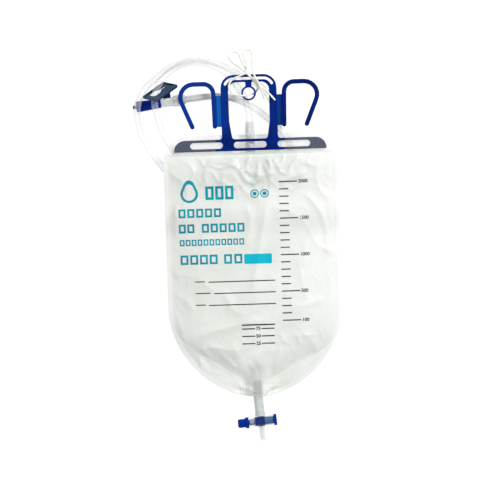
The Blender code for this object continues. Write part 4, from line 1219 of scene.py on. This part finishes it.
# Plain teal shapes: rows of oblongs, two ringed dots, a drop and a bar
tealPrint = bmesh.new()
wordRows = [  # left, y, count, pitch, width, height and stroke
    (-51.6, 228.5, 3, 11.0, 9.2, 15.0, 2.8),
    (-82.3, 206.5, 5, 9.9, 7.8, 9.8, 2.1),
    (-82.6, 189.5, 2, 9.6, 7.8, 9.8, 2.1),
    (-56.7, 189.5, 5, 9.9, 7.8, 9.8, 2.1),
    (-82.0, 173.7, 11, 6.65, 5.3, 7.0, 1.5),
    (-81.8, 154.6, 4, 10.9, 8.8, 10.6, 2.2),
    (-33.0, 154.6, 2, 11.4, 8.8, 10.6, 2.2),
]
for start, y, count, pitch, width, height, stroke in wordRows:
    for k in range(count):
        left = start + pitch * k
        printFrame(tealPrint, left, left + width, y, height, stroke)
dots = {"x": (3.2, 14.2), "y": 226.4, "steps": 36, "radii": [(4.8, 4.2, 3.6), (2.3, 1.2, 0.1)]}
for x in dots["x"]:
    for radii in dots["radii"]:
        printRings(tealPrint, (x, dots["y"]), dots["steps"], [(r, r) for r in radii])
drop = {"centre": (-69.7, 228.0), "steps": 48, "edges": [(9.8, 15.5), (7.2, 11.1)]}
printRings(tealPrint, drop["centre"], drop["steps"], drop["edges"])
addMesh("wordPrint", tealPrint, tealInk, "bag", False)

badge = {"left": -10.6, "right": 20.3, "y": 153.9, "height": 11.0, "rounding": 0.8}
badgeMesh = bmesh.new()
printBar(badgeMesh, badge["left"], badge["right"], badge["y"], badge["height"], badge["rounding"])
addMesh("badgePrint", badgeMesh, badgeInk, "bag", False)
print("print laid")

# Floor, light and background
stage = {
    "floorSize": 8.0,
    "floorDrop": 0.0004,
    "floorColour": 0.80,
    "glow": 1.25,
    "glowShare": 0.72,
    "worldLight": 0.40,
    "keyEnergy": 25.0,
    "keySize": 0.55,
    "keyPlace": (1.05, 0.85, 1.20),
    "fillEnergy": 7.2,
    "fillSize": 1.4,
    "fillPlace": (-1.1, -0.3, 1.2),
}


def floorPaper():
    finish = Finish("floorPaper", Roughness=0.9, Specular_IOR_Level=0.0)
    fine = finish.grain(300.0, 2.0)
    tone = stage["floorColour"]
    darker, paler = [rgb(*[shade] * 3) for shade in (tone, tone + 0.01)]
    finish.feed("Base Color", finish.colours(fine, darker, paler))
    path = finish.node("ShaderNodeLightPath", output="Is Camera Ray")
    glossy = Amount(finish, path.socket.node.outputs["Is Glossy Ray"])
    through = Amount(finish, path.socket.node.outputs["Is Transmission Ray"])
    seen = path.atLeast(glossy).atLeast(through)
    glow = finish.node("ShaderNodeEmission", None, {"Strength": stage["glow"]})
    mixed = finish.node("ShaderNodeMixShader", None, {0: seen * stage["glowShare"], 2: glow})
    finish.tree.links.new(finish.shader.outputs[0], mixed.socket.node.inputs[1])
    finish.tree.links.new(mixed.socket, finish.tree.nodes["Material Output"].inputs["Surface"])
    return finish.material


floorMesh = bmesh.new()
bmesh.ops.create_grid(floorMesh, x_segments=4, y_segments=4, size=stage["floorSize"] / 2)
floorObject = bpy.data.objects.new("floor", meshOf(floorMesh, "floor", False))
bpy.context.scene.collection.objects.link(floorObject)
floorObject.location = (0, 0, -stage["floorDrop"])
floorObject.data.materials.append(floorPaper())


def softLamp(name, place, size, energy):
    lamp = bpy.data.lights.new(name, "AREA")
    lamp.shape = "SQUARE"
    lamp.size = size
    lamp.energy = energy
    obj = bpy.data.objects.new(name, lamp)
    bpy.context.scene.collection.objects.link(obj)
    obj.location = place
    obj.rotation_euler = (-Vector(place)).to_track_quat("-Z", "Y").to_euler()


softLamp("keyLamp", stage["keyPlace"], stage["keySize"], stage["keyEnergy"])
softLamp("fillLamp", stage["fillPlace"], stage["fillSize"], stage["fillEnergy"])

world = bpy.data.worlds.new("studio")
world.use_nodes = True
bpy.context.scene.world = world
skyTree = world.node_tree
sky = skyTree.nodes["Background"]
white = skyTree.nodes.new("ShaderNodeBackground")
for background, strength in ((sky, stage["worldLight"]), (white, 1.0)):
    background.inputs["Color"].default_value = rgb(1, 1, 1)
    background.inputs["Strength"].default_value = strength
rays = skyTree.nodes.new("ShaderNodeLightPath")
seenSky = rays.outputs["Is Camera Ray"]
for kind in ("Is Glossy Ray", "Is Transmission Ray"):
    either = skyTree.nodes.new("ShaderNodeMath")
    either.operation = "MAXIMUM"
    skyTree.links.new(seenSky, either.inputs[0])
    skyTree.links.new(rays.outputs[kind], either.inputs[1])
    seenSky = either.outputs[0]
skyMix = skyTree.nodes.new("ShaderNodeMixShader")
skyTree.links.new(seenSky, skyMix.inputs["Fac"])
skyTree.links.new(sky.outputs[0], skyMix.inputs[1])
skyTree.links.new(white.outputs[0], skyMix.inputs[2])
skyTree.links.new(skyMix.outputs[0], skyTree.nodes["World Output"].inputs["Surface"])
bpy.context.scene.view_settings.view_transform = "Standard"
print("stage set")
